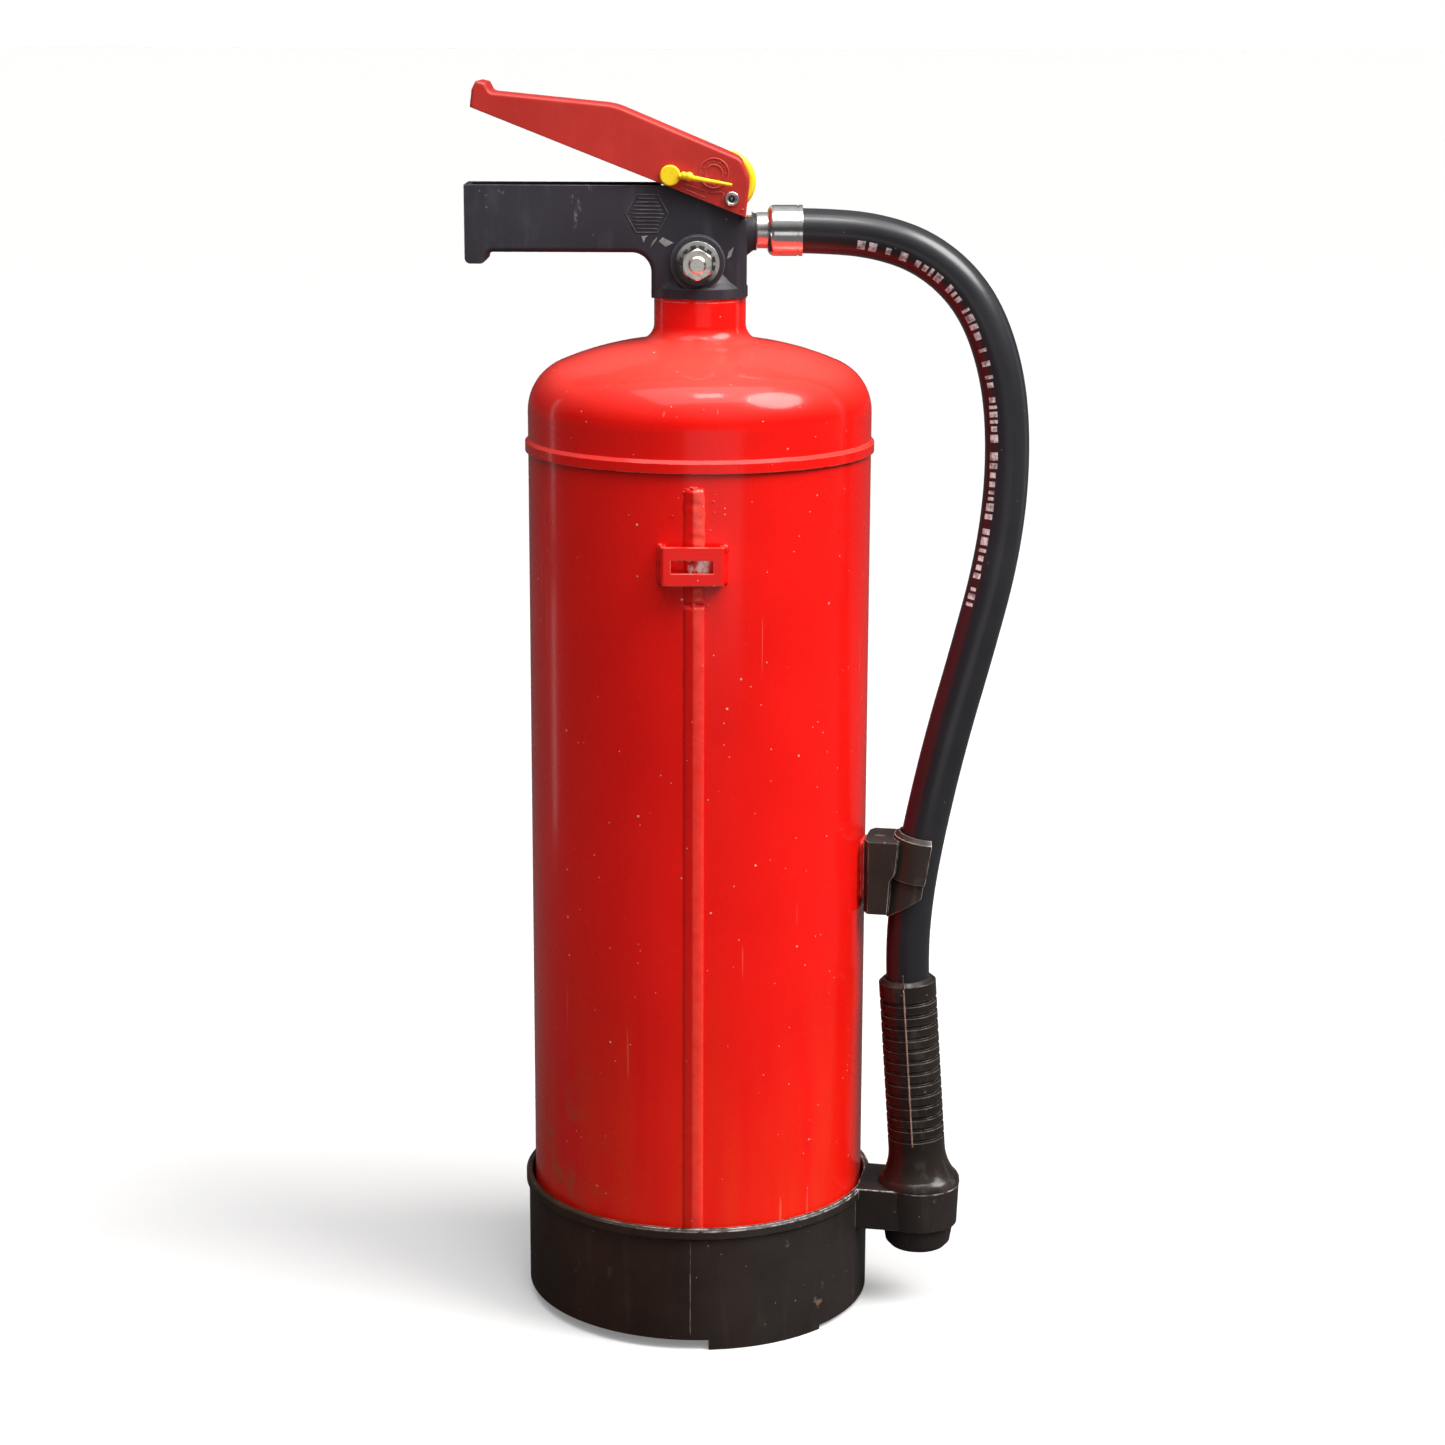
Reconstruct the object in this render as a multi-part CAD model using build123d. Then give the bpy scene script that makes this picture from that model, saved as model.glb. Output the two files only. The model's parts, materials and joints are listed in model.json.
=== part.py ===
from build123d import *
import os
from math import cos, pi, radians, sin, tan

# Stored-pressure dry powder fire extinguisher, 6 kg size.  Millimetres.
# Origin: on the floor, on the vessel's axis.  +Z is up, the carrying handle points to -X, the hose
# leaves the valve towards +X, and the wall bracket and the weld seam are on the -Y side.

os.makedirs("parts", exist_ok=True)

# ---------------------------------------------------------------- driving dimensions
WALL = 1.5                      # steel sheet of the vessel
SHELL_R = 80.0                  # outside of the cylinder
SHELL_BOTTOM_Z = 44.0
SHELL_TOP_Z = 421.0             # end of the cylinder, inside the dome's lap
LAP_R = 81.4                    # outside of the dome's lap over the cylinder
LAP_BOTTOM_Z = 416.0
TOP_KNUCKLE = (24.0, 434.4)     # radius and start height of the bend between the crown and the skirt
BOTTOM_KNUCKLE = (18.0, 42.0)
CROWN_MIDDLE = (46.0, 463.2)    # a point of the top dome's crown
CROWN_SLOPE = 20.0              # degrees, where the crown meets the knuckle
NECK_R = 21.2
NECK_BORE_R = 15.0
NECK_JOINT_Z = 485.6            # where the drawn collar of the dome meets the neck ring
NECK_TOP_Z = 487.0
SEAM_X = -2.0

BRACKET_X = (-16.6, 11.8)       # wall bracket, a bridge welded over the seam
BRACKET_Z = (366.7, 384.0)
BRACKET_FRONT_Y = -86.0
BRACKET_SHEET = 2.0
SLOT_X = (-12.1, 6.9)
SLOT_Z = (372.2, 378.1)

HANDLE_HALF = 14.0              # half width of the carrying handle
HANDLE_WALL = 2.6
HANDLE_LEFT_X = -107.3
HANDLE_TOP_Z = 538.0
HANDLE_BOTTOM_Z = 507.6
HEAD_LEFT_X = -22.2
HEAD_RIGHT_X = 21.5
COLLAR_R = 22.05
HEAD_BOTTOM_Z = 487.1

LEVER_HALF = 16.8               # half width of the operating lever
LEVER_INNER_HALF = 14.4
LEVER_WEB = 2.4
PIVOT = (14.5, 532.3)           # x, z of the lever's hinge pin
PIVOT_R = 2.4
PAD_CENTRE = (0.0, 534.2)       # x, z of the nose that presses the valve stem
PAD_R = 3.0
LEVER_TRAVEL = 15.0             # degrees

PIN = (-13.5, 542.6)            # x, z of the safety pin
PIN_R = 2.0
PIN_TIP_Y = -12.9
PIN_HEAD_Y = 17.6
RING_CENTRE = (11.2, 538.0)     # x, z of the pull ring
RING_R = 12.3
RING_WIRE_R = 2.2
RING_Y = 20.4

STUD = (-1.0, 503.5)            # x, z of the stud on the -Y side
STUD_R = 4.0
STUD_SEAT_Y = -21.0
LOCK_WASHER_R = 8.3
GAUGE_Z = 504.0
GAUGE_R = 15.5
GAUGE_BACK_Y = 23.0

OUTLET_Z = 517.0
VALVE_BODY_R = 11.2
OUTLET_BORE_R = 3.3
VALVE_TOP_Z = 524.5
GLAND_Z = 520.4                 # floor of the gland, above the outlet's bore
GLAND_R = 6.0
SEAT_Z = 507.0
STEM_TOP_Z = 530.9
STEM_R = 2.95
HEAD_FLOOR_Z = 521.9            # floor of the handle's trough over the valve

BASE_R = 83.1
BASE_LIP_R = 84.5
BASE_TOP_Z = 61.0
BASE_GRIP_R = 80.1              # the boot holds the cylinder at this radius
BASE_FOOT_Z = 5.0               # underside of the wall between the feet
SIDE_ANGLE = -11.0              # degrees: clip and holder stand in this upright plane, from +X
HOLDER_RHO = 109.5              # distance of the holder from the vessel's axis
HOLDER_R = 19.6
HOLDER_BOTTOM_Z = 41.0
CUP_BOTTOM_Z = 29.0

HOSE_R = 10.3
HOSE_BORE_R = 6.3
HOSE_STATION = 0.45             # share of the shorter run that an arc takes up
# Control points of the hose's route, from inside the ferrule down to inside the grip.
HOSE_ROUTE = [
    (32.5, 0.0, 517.0), (56.0, 0.0, 517.0), (81.5, -0.3, 514.8), (104.3, -0.8, 506.9),
    (123.1, -1.5, 491.0), (135.0, -2.6, 469.6), (142.4, -4.6, 440.0), (143.4, -7.6, 402.0),
    (138.6, -11.2, 364.0), (127.9, -15.0, 322.5), (116.4, -18.2, 281.0), (107.2, -20.8, 240.0),
    (101.4, -19.7, 204.0), (99.67, -19.4, 172.0), (101.44, -19.74, 147.0),
]

GRIP_LEAN = 4.12                # degrees, towards the vessel
GRIP_FOOT_Z = 61.2              # its bell stands on the holder
GRIP_LENGTH = 103.6
GRIP_R = 13.7
BELL_R = 19.8
RIB_COUNT = 12
RIB_PITCH = 5.72
FIRST_RIB = 24.5                # lowest groove, along the grip

CLIP_Z = (198.5, 234.0)
JAW_CENTRE = (106.5, 224.0)     # rho, z
JAW_LEAN = 9.0
JAW_BORE_R = 10.9


# ---------------------------------------------------------------- helpers
def polar(r, angle, centre=(0.0, 0.0)):
    """A point at a radius and an angle, in degrees from the first axis."""
    return (centre[0] + r * cos(radians(angle)), centre[1] + r * sin(radians(angle)))


def turned(*points):
    """A solid of revolution about Z from a closed (radius, z) outline."""
    return revolve(make_face(Plane.XZ * Polyline(*points, close=True)), Axis.Z)


def turned_edges(*edges):
    """The same from edges that close into a loop."""
    return revolve(make_face([Plane.XZ * edge for edge in edges]), Axis.Z)


def side_plate(points, half):
    """An (x, z) outline pulled out to both sides of the middle plane."""
    return extrude(make_face(Plane.XZ * Polyline(*points, close=True)), half, both=True)


def rounded_outline(corners):
    """A face in the XZ plane from (x, z, radius) corners; radius 0 leaves a corner sharp."""
    face = make_face(Polyline(*[(x, z) for x, z, _ in corners], close=True))
    for x, z, radius in corners:
        if radius:
            corner = face.vertices().sort_by_distance((x, z, 0))[0]
            face = fillet(corner, radius)
    return Plane.XZ * face


def slab(points, low_y, high_y):
    """An (x, z) outline between two planes of constant y."""
    face = make_face(Plane.XZ * Polyline(*points, close=True))
    return Pos(0, high_y, 0) * extrude(face, high_y - low_y)


def rod(radius, start, direction, length):
    """A cylinder that starts at a point and runs along a direction."""
    base = Plane(origin=start, z_dir=direction)
    return base * Cylinder(radius, length, align=(Align.CENTER, Align.CENTER, Align.MIN))


def rod_y(radius, xz, low_y, high_y):
    """A cylinder along Y between two planes."""
    return rod(radius, (xz[0], low_y, xz[1]), (0, 1, 0), high_y - low_y)


def rod_x(radius, low_x, high_x, z=OUTLET_Z):
    """A cylinder along X between two planes, in the middle plane."""
    return rod(radius, (low_x, 0, z), (1, 0, 0), high_x - low_x)


def tube_z(outer, inner, low, high):
    """A tube about Z."""
    return turned((inner, low), (outer, low), (outer, high), (inner, high))


def block(x, y, z):
    """A box from three (low, high) pairs."""
    size = (x[1] - x[0], y[1] - y[0], z[1] - z[0])
    return Pos(x[0], y[0], z[0]) * Box(*size, align=(Align.MIN, Align.MIN, Align.MIN))


def hexagon(across_flats, xz, low_y, high_y):
    """A hexagonal prism along Y."""
    face = RegularPolygon(across_flats / 2, 6, major_radius=False)
    base = Plane(origin=(xz[0], low_y, xz[1]), z_dir=(0, 1, 0))
    return extrude(base * face, high_y - low_y)


def at_side(shape):
    """Turns a shape built in the XZ plane into the plane of the clip and the holder."""
    return Rot(0, 0, SIDE_ANGLE) * shape


# ---------------------------------------------------------------- pressure vessel
def knuckle_arc(knuckle, sign, offset):
    """Skirt point, knuckle and crown point of a dome, moved inwards by an offset; sign -1 is a bottom."""
    outer_radius, knuckle_z = knuckle
    radius = outer_radius - offset
    centre = (SHELL_R - outer_radius, knuckle_z)
    skirt = (SHELL_R - offset, knuckle_z)
    join = polar(radius, sign * (90 - CROWN_SLOPE), centre)
    middle = polar(radius, sign * (90 - CROWN_SLOPE) / 2, centre)
    return skirt, ThreePointArc(skirt, middle, join), join


def top_dome():
    skirt, knuckle, join = knuckle_arc(TOP_KNUCKLE, 1, 0)
    crown = ThreePointArc(join, CROWN_MIDDLE, (NECK_R, 467.4))
    inner_r = NECK_R - 2.6
    in_skirt, in_knuckle, in_join = knuckle_arc(TOP_KNUCKLE, 1, WALL)
    in_crown = ThreePointArc(in_join, (CROWN_MIDDLE[0] - 0.5, CROWN_MIDDLE[1] - WALL), (inner_r, 466.4))
    lap = Polyline(skirt, (SHELL_R, LAP_BOTTOM_Z + 5.8), (LAP_R, LAP_BOTTOM_Z + 4.4),
                   (LAP_R, LAP_BOTTOM_Z), (SHELL_R, LAP_BOTTOM_Z), (SHELL_R, SHELL_TOP_Z),
                   (SHELL_R - WALL, SHELL_TOP_Z), in_skirt)
    collar = Polyline((NECK_R, 467.4), (NECK_R, NECK_JOINT_Z), (inner_r, NECK_JOINT_Z), (inner_r, 466.4))
    dome = turned_edges(lap, in_knuckle, in_crown, collar, crown, knuckle)
    root = dome.edges().filter_by(GeomType.CIRCLE).filter_by(
        lambda e: abs(e.radius - NECK_R) < 0.01 and abs(e.center().Z - 467.4) < 0.01)
    return fillet(root, 8.0)


def bottom_crown(join):
    """Arc about the vessel's axis from the knuckle to the lowest point, and that point."""
    radius = join[0] / sin(radians(CROWN_SLOPE))
    centre_z = join[1] + radius * cos(radians(CROWN_SLOPE))
    middle = polar(radius, CROWN_SLOPE / 2 - 90, (0.0, centre_z))
    lowest = (0.0, centre_z - radius)
    return ThreePointArc(join, middle, lowest), lowest


def bottom_dome():
    skirt, knuckle, join = knuckle_arc(BOTTOM_KNUCKLE, -1, 0)
    in_skirt, in_knuckle, in_join = knuckle_arc(BOTTOM_KNUCKLE, -1, WALL)
    crown, lowest = bottom_crown(join)
    in_crown, in_lowest = bottom_crown(in_join)
    rim = Polyline(skirt, (SHELL_R, SHELL_BOTTOM_Z), (SHELL_R - WALL, SHELL_BOTTOM_Z), in_skirt)
    return turned_edges(rim, in_knuckle, in_crown, Line(in_lowest, lowest), crown, knuckle)


def cylinder_shell():
    tube = tube_z(SHELL_R, SHELL_R - WALL, SHELL_BOTTOM_Z, SHELL_TOP_Z)
    seam_depth = 79.2
    lower_seam = rod(1.9, (SEAM_X, -seam_depth, BASE_TOP_Z + 2), (0, 0, 1), 410.0 - BASE_TOP_Z - 2)
    return tube + lower_seam


def neck_ring():
    spigot_r = NECK_R - 2.6
    outline = [
        (NECK_BORE_R, 458.0), (spigot_r, 458.0), (spigot_r, NECK_JOINT_Z), (NECK_R, NECK_JOINT_Z),
        (NECK_R, NECK_TOP_Z), (17.4, NECK_TOP_Z), (17.4, 484.8), (NECK_BORE_R, 484.8),
    ]
    return turned(*outline)


def wall_bracket():
    """A bridge of bent sheet: two legs, a flat front and a slot for the wall hook."""
    face = block(BRACKET_X, (BRACKET_FRONT_Y, BRACKET_FRONT_Y + BRACKET_SHEET), BRACKET_Z)
    left = block((BRACKET_X[0], BRACKET_X[0] + BRACKET_SHEET), (BRACKET_FRONT_Y, -77), BRACKET_Z)
    right = block((BRACKET_X[1] - BRACKET_SHEET, BRACKET_X[1]), (BRACKET_FRONT_Y, -77), BRACKET_Z)
    bridge = face + left + right
    corners = bridge.edges().filter_by(Axis.Z).group_by(Axis.Y)[0]
    bridge = fillet(corners, 1.4)
    slot = block(SLOT_X, (BRACKET_FRONT_Y - 1, BRACKET_FRONT_Y + BRACKET_SHEET + 1), SLOT_Z)
    return bridge - slot - rod(SHELL_R, (0, 0, 360), (0, 0, 1), 40)


def powder_charge():
    """The loose powder as it settles, clear of the dip tube."""
    top_z = 345.0
    charge = turned((6.4, 30.0), (50.0, 33.0), (66.0, 40.0), (76.0, 48.0), (76.0, top_z), (6.4, top_z))
    return charge


# ---------------------------------------------------------------- valve
def valve_body():
    spigot = tube_z(NECK_BORE_R - 0.1, 6.0, 462.0, NECK_TOP_Z)
    flange = tube_z(18.0, 6.0, NECK_TOP_Z, 490.0)
    lower = tube_z(VALVE_BODY_R, 6.0, 490.0, SEAT_Z)
    seat = tube_z(VALVE_BODY_R, 4.2, SEAT_Z, 510.0)
    chamber = tube_z(VALVE_BODY_R, 4.9, 510.0, GLAND_Z)
    gland = tube_z(VALVE_BODY_R, GLAND_R, GLAND_Z, VALVE_TOP_Z)
    outlet = rod_x(6.6, 9.5, 26.0)
    body = spigot + flange + lower + seat + chamber + gland + outlet
    body -= rod(GLAND_R, (0, 0, GLAND_Z), (0, 0, 1), 10)
    body -= rod_x(OUTLET_BORE_R, 4.0, 30.0) + rod_x(5.9, 17.0, 30.0)
    body -= rod_y(STUD_R, STUD, -20.0, -7.0)
    body -= rod_y(4.0, (0, GAUGE_Z), 3.0, 20.0)
    return body


def valve_stem():
    shaft = rod(STEM_R, (0, 0, 504.0), (0, 0, 1), STEM_TOP_Z - 504.0)
    head = turned((0.0, 499.5), (4.8, 499.5), (4.8, 504.8), (STEM_R, 504.8), (STEM_R, 505.5), (0.0, 505.5))
    return shaft + head


def valve_seal():
    """Rubber washer that closes the seat from below."""
    return tube_z(4.8, STEM_R, 504.9, SEAT_Z)


def seal_nut():
    """Gland nut over the stem."""
    nut = extrude(Plane(origin=(0, 0, VALVE_TOP_Z)) * RegularPolygon(7.5, 6, major_radius=False), 2.3)
    bore_r = STEM_R + 0.05
    thread = tube_z(GLAND_R - 0.1, bore_r, VALVE_TOP_Z - 1.2, VALVE_TOP_Z)
    return nut + thread - rod(bore_r, (0, 0, 510), (0, 0, 1), 30)


def stem_o_ring():
    return Pos(0, 0, GLAND_Z + 1.4) * Torus(STEM_R + 1.45, 1.35)


def neck_o_ring():
    return Pos(0, 0, 485.9) * Torus(16.2, 1.08)


def dip_tube_adapter():
    return tube_z(5.95, 4.9, 462.5, 470.0) + tube_z(5.95, 3.4, 470.0, 479.0)


def valve_spring():
    """Return spring between the adapter and the stem's head."""
    pitch, turns, wire = 3.6, 5, 0.5
    path = Helix(pitch, pitch * turns, 4.3, center=(0, 0, 479.9))
    section = Plane(origin=path @ 0, z_dir=path % 0) * Circle(wire)
    return sweep(section, path, is_frenet=True)


def dip_tube():
    return tube_z(4.85, 3.8, 22.0, 469.9)


# ---------------------------------------------------------------- handle and lever
def carrying_handle():
    fillet_r = 9.0
    corner = (HEAD_LEFT_X, HANDLE_BOTTOM_Z)
    lip_bottom = HANDLE_BOTTOM_Z - 5.2
    outline = [
        Line((HANDLE_LEFT_X, HANDLE_TOP_Z), (8.0, HANDLE_TOP_Z)),
        Line((8.0, HANDLE_TOP_Z), polar(5.1, 70, PIVOT)),
        ThreePointArc(polar(5.1, 70, PIVOT), polar(5.1, 35, PIVOT), polar(5.1, 0, PIVOT)),
        Line(polar(5.1, 0, PIVOT), (19.4, 523.2)),
        Line((19.4, 523.2), (HEAD_RIGHT_X, 522.4)),
        Line((HEAD_RIGHT_X, 522.4), (HEAD_RIGHT_X, HEAD_BOTTOM_Z)),
        Line((HEAD_RIGHT_X, HEAD_BOTTOM_Z), (HEAD_LEFT_X, HEAD_BOTTOM_Z)),
        Line((HEAD_LEFT_X, HEAD_BOTTOM_Z), (HEAD_LEFT_X, corner[1] - fillet_r)),
        ThreePointArc((HEAD_LEFT_X, corner[1] - fillet_r),
                      polar(fillet_r, 45, (corner[0] - fillet_r, corner[1] - fillet_r)),
                      (corner[0] - fillet_r, corner[1])),
        Line((corner[0] - fillet_r, corner[1]), (-94.0, HANDLE_BOTTOM_Z)),
        ThreePointArc((-94.0, HANDLE_BOTTOM_Z), polar(3.6, 135, (-94.0, 504.0)), (-97.6, 504.0)),
        ThreePointArc((-97.6, 504.0), (-98.8, 502.8), (-100.6, lip_bottom)),
        Line((-100.6, lip_bottom), (-104.8, lip_bottom)),
        ThreePointArc((-104.8, lip_bottom), (-106.6, 503.2), (HANDLE_LEFT_X, 505.0)),
        Line((HANDLE_LEFT_X, 505.0), (HANDLE_LEFT_X, HANDLE_TOP_Z)),
    ]
    bar = extrude(make_face([Plane.XZ * edge for edge in outline]), HANDLE_HALF, both=True)
    # round the long lower edges and the head's upright corners
    low = bar.edges().filter_by(lambda e: abs(abs(e.center().Y) - HANDLE_HALF) < 0.01)
    low = low.filter_by(lambda e: e.center().Z < HANDLE_BOTTOM_Z + 0.1 and -90.0 < e.center().X < HEAD_LEFT_X + 0.1)
    bar = fillet(low, 2.4)
    right = bar.edges().filter_by(Axis.Z).filter_by(lambda e: e.center().X > HEAD_RIGHT_X - 0.1)
    bar = fillet(right, 5.0)
    flare = turned((0, HEAD_BOTTOM_Z), (COLLAR_R, HEAD_BOTTOM_Z), (COLLAR_R, 491.6),
                   (19.6, 494.4), (17.0, 498.6), (15.4, 504.0), (0, 504.0))
    boss = rod_y(12.3, STUD, STUD_SEAT_Y, -5.0)
    gauge_boss = rod_y(7.5, (0, GAUGE_Z), 5.0, GAUGE_BACK_Y - 2.5)
    outlet_boss = rod_x(8.5, 15.0, 26.0, OUTLET_Z - 0.6)
    outlet_flare = Plane(origin=(20.5, 0, OUTLET_Z - 0.6), z_dir=(1, 0, 0)) * Cone(
        11.6, 8.5, 4.0, align=(Align.CENTER, Align.CENTER, Align.MIN))
    outlet_boss = outlet_boss + outlet_flare - block((15.0, 23.6), (-20.0, 20.0), (523.3, 540.0))
    body = bar + flare + boss + gauge_boss + outlet_boss
    # channel, open at the top
    inner = HANDLE_HALF - HANDLE_WALL
    channel = block((HANDLE_LEFT_X + 2.8, -24.0), (-inner, inner), (HANDLE_BOTTOM_Z + 2.7, 560.0))
    above_valve = block((-24.5, 19.9), (-inner, inner), (HEAD_FLOOR_Z, 560.0))
    body -= channel + above_valve
    # room for the valve, the stud and the gauge's stem
    body -= rod(VALVE_BODY_R + 0.1, (0, 0, 480), (0, 0, 1), 50)
    body -= rod(18.2, (0, 0, 480), (0, 0, 1), 10.2)
    body -= rod_x(6.75, 5.0, 30.0)
    body -= rod_y(STUD_R + 0.2, STUD, -40.0, 0.0)
    body -= rod_y(5.2, (0, GAUGE_Z), 0.0, 40.0)
    body -= rod_y(PIVOT_R, PIVOT, -40.0, 40.0)
    # open slot on the far side and a blind pocket on the near side for the safety pin
    slot_x, slot_low = (PIN[0] - 4.6, PIN[0] + 2.6), PIN[1] - 10.4
    body -= block(slot_x, (0.0, 40.0), (slot_low, 560.0))
    body -= block(slot_x, (PIN_TIP_Y - 0.3, 0.0), (slot_low, 560.0))
    return body


LEVER_TIP = (-103.8, 572.6)     # x, z of the two ends of the lever's straight lower edge
LEVER_HEEL = (20.9, 523.8)


def above_lower_edge(point):
    """Height of a point over the lever's straight lower edge."""
    share = (point.X - LEVER_TIP[0]) / (LEVER_HEEL[0] - LEVER_TIP[0])
    return point.Z - LEVER_TIP[1] - share * (LEVER_HEEL[1] - LEVER_TIP[1])


def operating_lever():
    """Moulded channel, open below, with a lip turned up at its tip and a rounded heel."""
    outline = [
        (*LEVER_TIP, 0), (-102.9, 580.4, 2.0), (-100.9, 584.3, 1.3), (-96.8, 583.4, 1.2),
        (-94.6, 579.2, 2.6), (-38.5, 573.8, 30.0), (18.8, 550.0, 6.5), (22.6, 541.0, 8.0), (*LEVER_HEEL, 0),
    ]
    skin = extrude(rounded_outline(outline), LEVER_HALF, both=True)
    long_edges = skin.edges().filter_by(lambda e: abs(abs(e.center().Y) - LEVER_HALF) < 0.01)
    top_edges = long_edges.filter_by(lambda e: above_lower_edge(e.center()) > 12.0 and e.center().X < 15.0)
    skin = fillet(top_edges, 1.6)
    pocket = [
        (-101.4, 560.0, 0), (-101.2, 576.9, 0), (-94.0, 576.5, 0), (-39.0, 571.2, 30.0),
        (17.0, 547.9, 4.5), (20.0, 540.4, 6.0), (19.9, 500.0, 0),
    ]
    skin -= extrude(rounded_outline(pocket), LEVER_INNER_HALF, both=True)
    # nose over the valve stem, hung from the web by a rib
    nose = rod_y(PAD_R, PAD_CENTRE, -6.0, 6.0)
    rib = block((-1.6, 1.6), (-6.0, 6.0), (PAD_CENTRE[1], 556.5))
    cross_rib = block((-1.6, 1.6), (-LEVER_INNER_HALF, LEVER_INNER_HALF), (HANDLE_TOP_Z + 10.0, 556.5))
    skin += nose + rib + cross_rib
    skin -= rod_y(PIVOT_R + 0.06, PIVOT, -40.0, 40.0)
    skin -= rod_y(PIN_R + 0.08, PIN, 0.0, 40.0)
    skin -= rod_y(2.1, PIN, -40.0, 0.0)
    return skin


def lever_pivot_pin():
    pin = rod_y(PIVOT_R, PIVOT, -LEVER_HALF - 0.9, LEVER_HALF + 0.4)
    head = rod_y(4.0, PIVOT, LEVER_HALF + 0.4, LEVER_HALF + 1.6)
    return pin + head - rod_y(1.3, PIVOT, -LEVER_HALF - 2.0, -LEVER_HALF + 0.7)


def safety_pin():
    shank = rod_y(PIN_R, PIN, PIN_TIP_Y, PIN_HEAD_Y + 3.6)
    tip = shank.faces().sort_by(Axis.Y)[0]
    return chamfer(tip.edges(), 0.6)


def pull_ring():
    """Moulded ring with a boss round the pin's outer end."""
    plane = Plane(origin=(RING_CENTRE[0], RING_Y, RING_CENTRE[1]), z_dir=(0, 1, 0))
    ring = plane * Torus(RING_R, RING_WIRE_R)
    boss = rod_y(4.2, PIN, PIN_HEAD_Y, RING_Y + 2.2)
    tang = slab([(PIN[0], PIN[1] + 2.2), (-1.6, 541.6), (-1.6, 537.0), (PIN[0], PIN[1] - 2.2)],
                PIN_HEAD_Y + 0.4, RING_Y + 1.4)
    return ring + boss + tang - rod_y(PIN_R, PIN, 0.0, PIN_HEAD_Y + 3.6)


def tamper_seal():
    """Snap-in seal: a disc over the pin hole, a breaking neck, a knob and a long tail."""
    face_y = -LEVER_HALF
    disc = rod_y(4.7, PIN, face_y - 2.4, face_y - 0.15)
    disc = fillet(disc.faces().sort_by(Axis.Y)[0].edges(), 0.8)
    stub = rod_y(1.95, PIN, face_y - 1.0, -LEVER_INNER_HALF - 0.1)
    middle_y = face_y - 2.4
    beads = Pos(PIN[0] + 6.2, middle_y, PIN[1] + 0.1) * Sphere(1.7)
    beads += Pos(PIN[0] + 8.6, middle_y, PIN[1] - 0.4) * Sphere(2.1)
    start = (PIN[0] + 3.8, middle_y, PIN[1])
    tail_end = (14.5, middle_y, 538.5)
    direction = Vector(*tail_end) - Vector(*start)
    tail = Plane(origin=start, z_dir=direction) * Cone(
        1.4, 0.7, direction.length, align=(Align.CENTER, Align.CENTER, Align.MIN))
    return disc + stub + beads + tail


# ---------------------------------------------------------------- stud, washers and nut
def stud_bolt():
    return chamfer(rod_y(STUD_R, STUD, -34.0, -7.0).faces().sort_by(Axis.Y)[0].edges(), 0.8)


def washer(outer, inner, low_y, high_y):
    return rod_y(outer, STUD, low_y, high_y) - rod_y(inner, STUD, low_y - 1, high_y + 1)


def flat_washer():
    return washer(10.0, STUD_R + 0.2, STUD_SEAT_Y - 1.6, STUD_SEAT_Y)


def lock_washer():
    """Toothed washer."""
    low_y, high_y = STUD_SEAT_Y - 2.6, STUD_SEAT_Y - 1.6
    ring = washer(LOCK_WASHER_R, STUD_R + 0.15, low_y, high_y)
    teeth = 12
    notch_plane = Plane(origin=(STUD[0], low_y, STUD[1]), z_dir=(0, 1, 0))
    for index in range(teeth):
        notch = Rot(0, 0, index * 360 / teeth) * Pos(LOCK_WASHER_R, 0, 0) * Box(2.6, 1.6, 4)
        ring -= notch_plane * notch
    return ring


def hex_nut():
    low_y, high_y = STUD_SEAT_Y - 9.1, STUD_SEAT_Y - 2.6
    nut = hexagon(13.0, STUD, low_y, high_y)
    corner_cut = rod_y(7.2, STUD, low_y, high_y)
    corner_cut = chamfer(corner_cut.faces().sort_by(Axis.Y)[0].edges(), 0.7)
    return (nut & corner_cut) - rod_y(STUD_R, STUD, low_y - 1, high_y + 1)


# ---------------------------------------------------------------- pressure gauge
GAUGE = (0.0, GAUGE_Z)


def gauge_case():
    stem = rod_y(5.0, GAUGE, VALVE_BODY_R + 0.2, GAUGE_BACK_Y) + rod_y(3.9, GAUGE, 7.0, VALVE_BODY_R + 0.2)
    cup = rod_y(GAUGE_R, GAUGE, GAUGE_BACK_Y, GAUGE_BACK_Y + 9.0)
    cup = fillet(cup.faces().sort_by(Axis.Y)[0].edges(), 2.0)
    cup -= rod_y(GAUGE_R - 1.2, GAUGE, GAUGE_BACK_Y + 1.2, GAUGE_BACK_Y + 10.0)
    return stem + cup - rod_y(1.5, GAUGE, 0.0, GAUGE_BACK_Y + 3.0)


def bourdon_tube():
    """Curved spring tube that turns the pointer."""
    plane = Plane(origin=(0, GAUGE_BACK_Y + 3.6, GAUGE_Z), z_dir=(0, 1, 0))
    coil = plane * Torus(9.0, 1.3)
    gap = block((-3.0, 3.0), (GAUGE_BACK_Y, GAUGE_BACK_Y + 9.0), (GAUGE_Z - 12.0, GAUGE_Z - 6.0))
    return coil - gap


def gauge_dial():
    return rod_y(GAUGE_R - 1.25, GAUGE, GAUGE_BACK_Y + 5.4, GAUGE_BACK_Y + 6.0) - rod_y(
        1.0, GAUGE, GAUGE_BACK_Y, GAUGE_BACK_Y + 9.0)


def needle_shaft():
    return rod_y(0.85, GAUGE, GAUGE_BACK_Y + 1.3, GAUGE_BACK_Y + 7.6)


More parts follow.
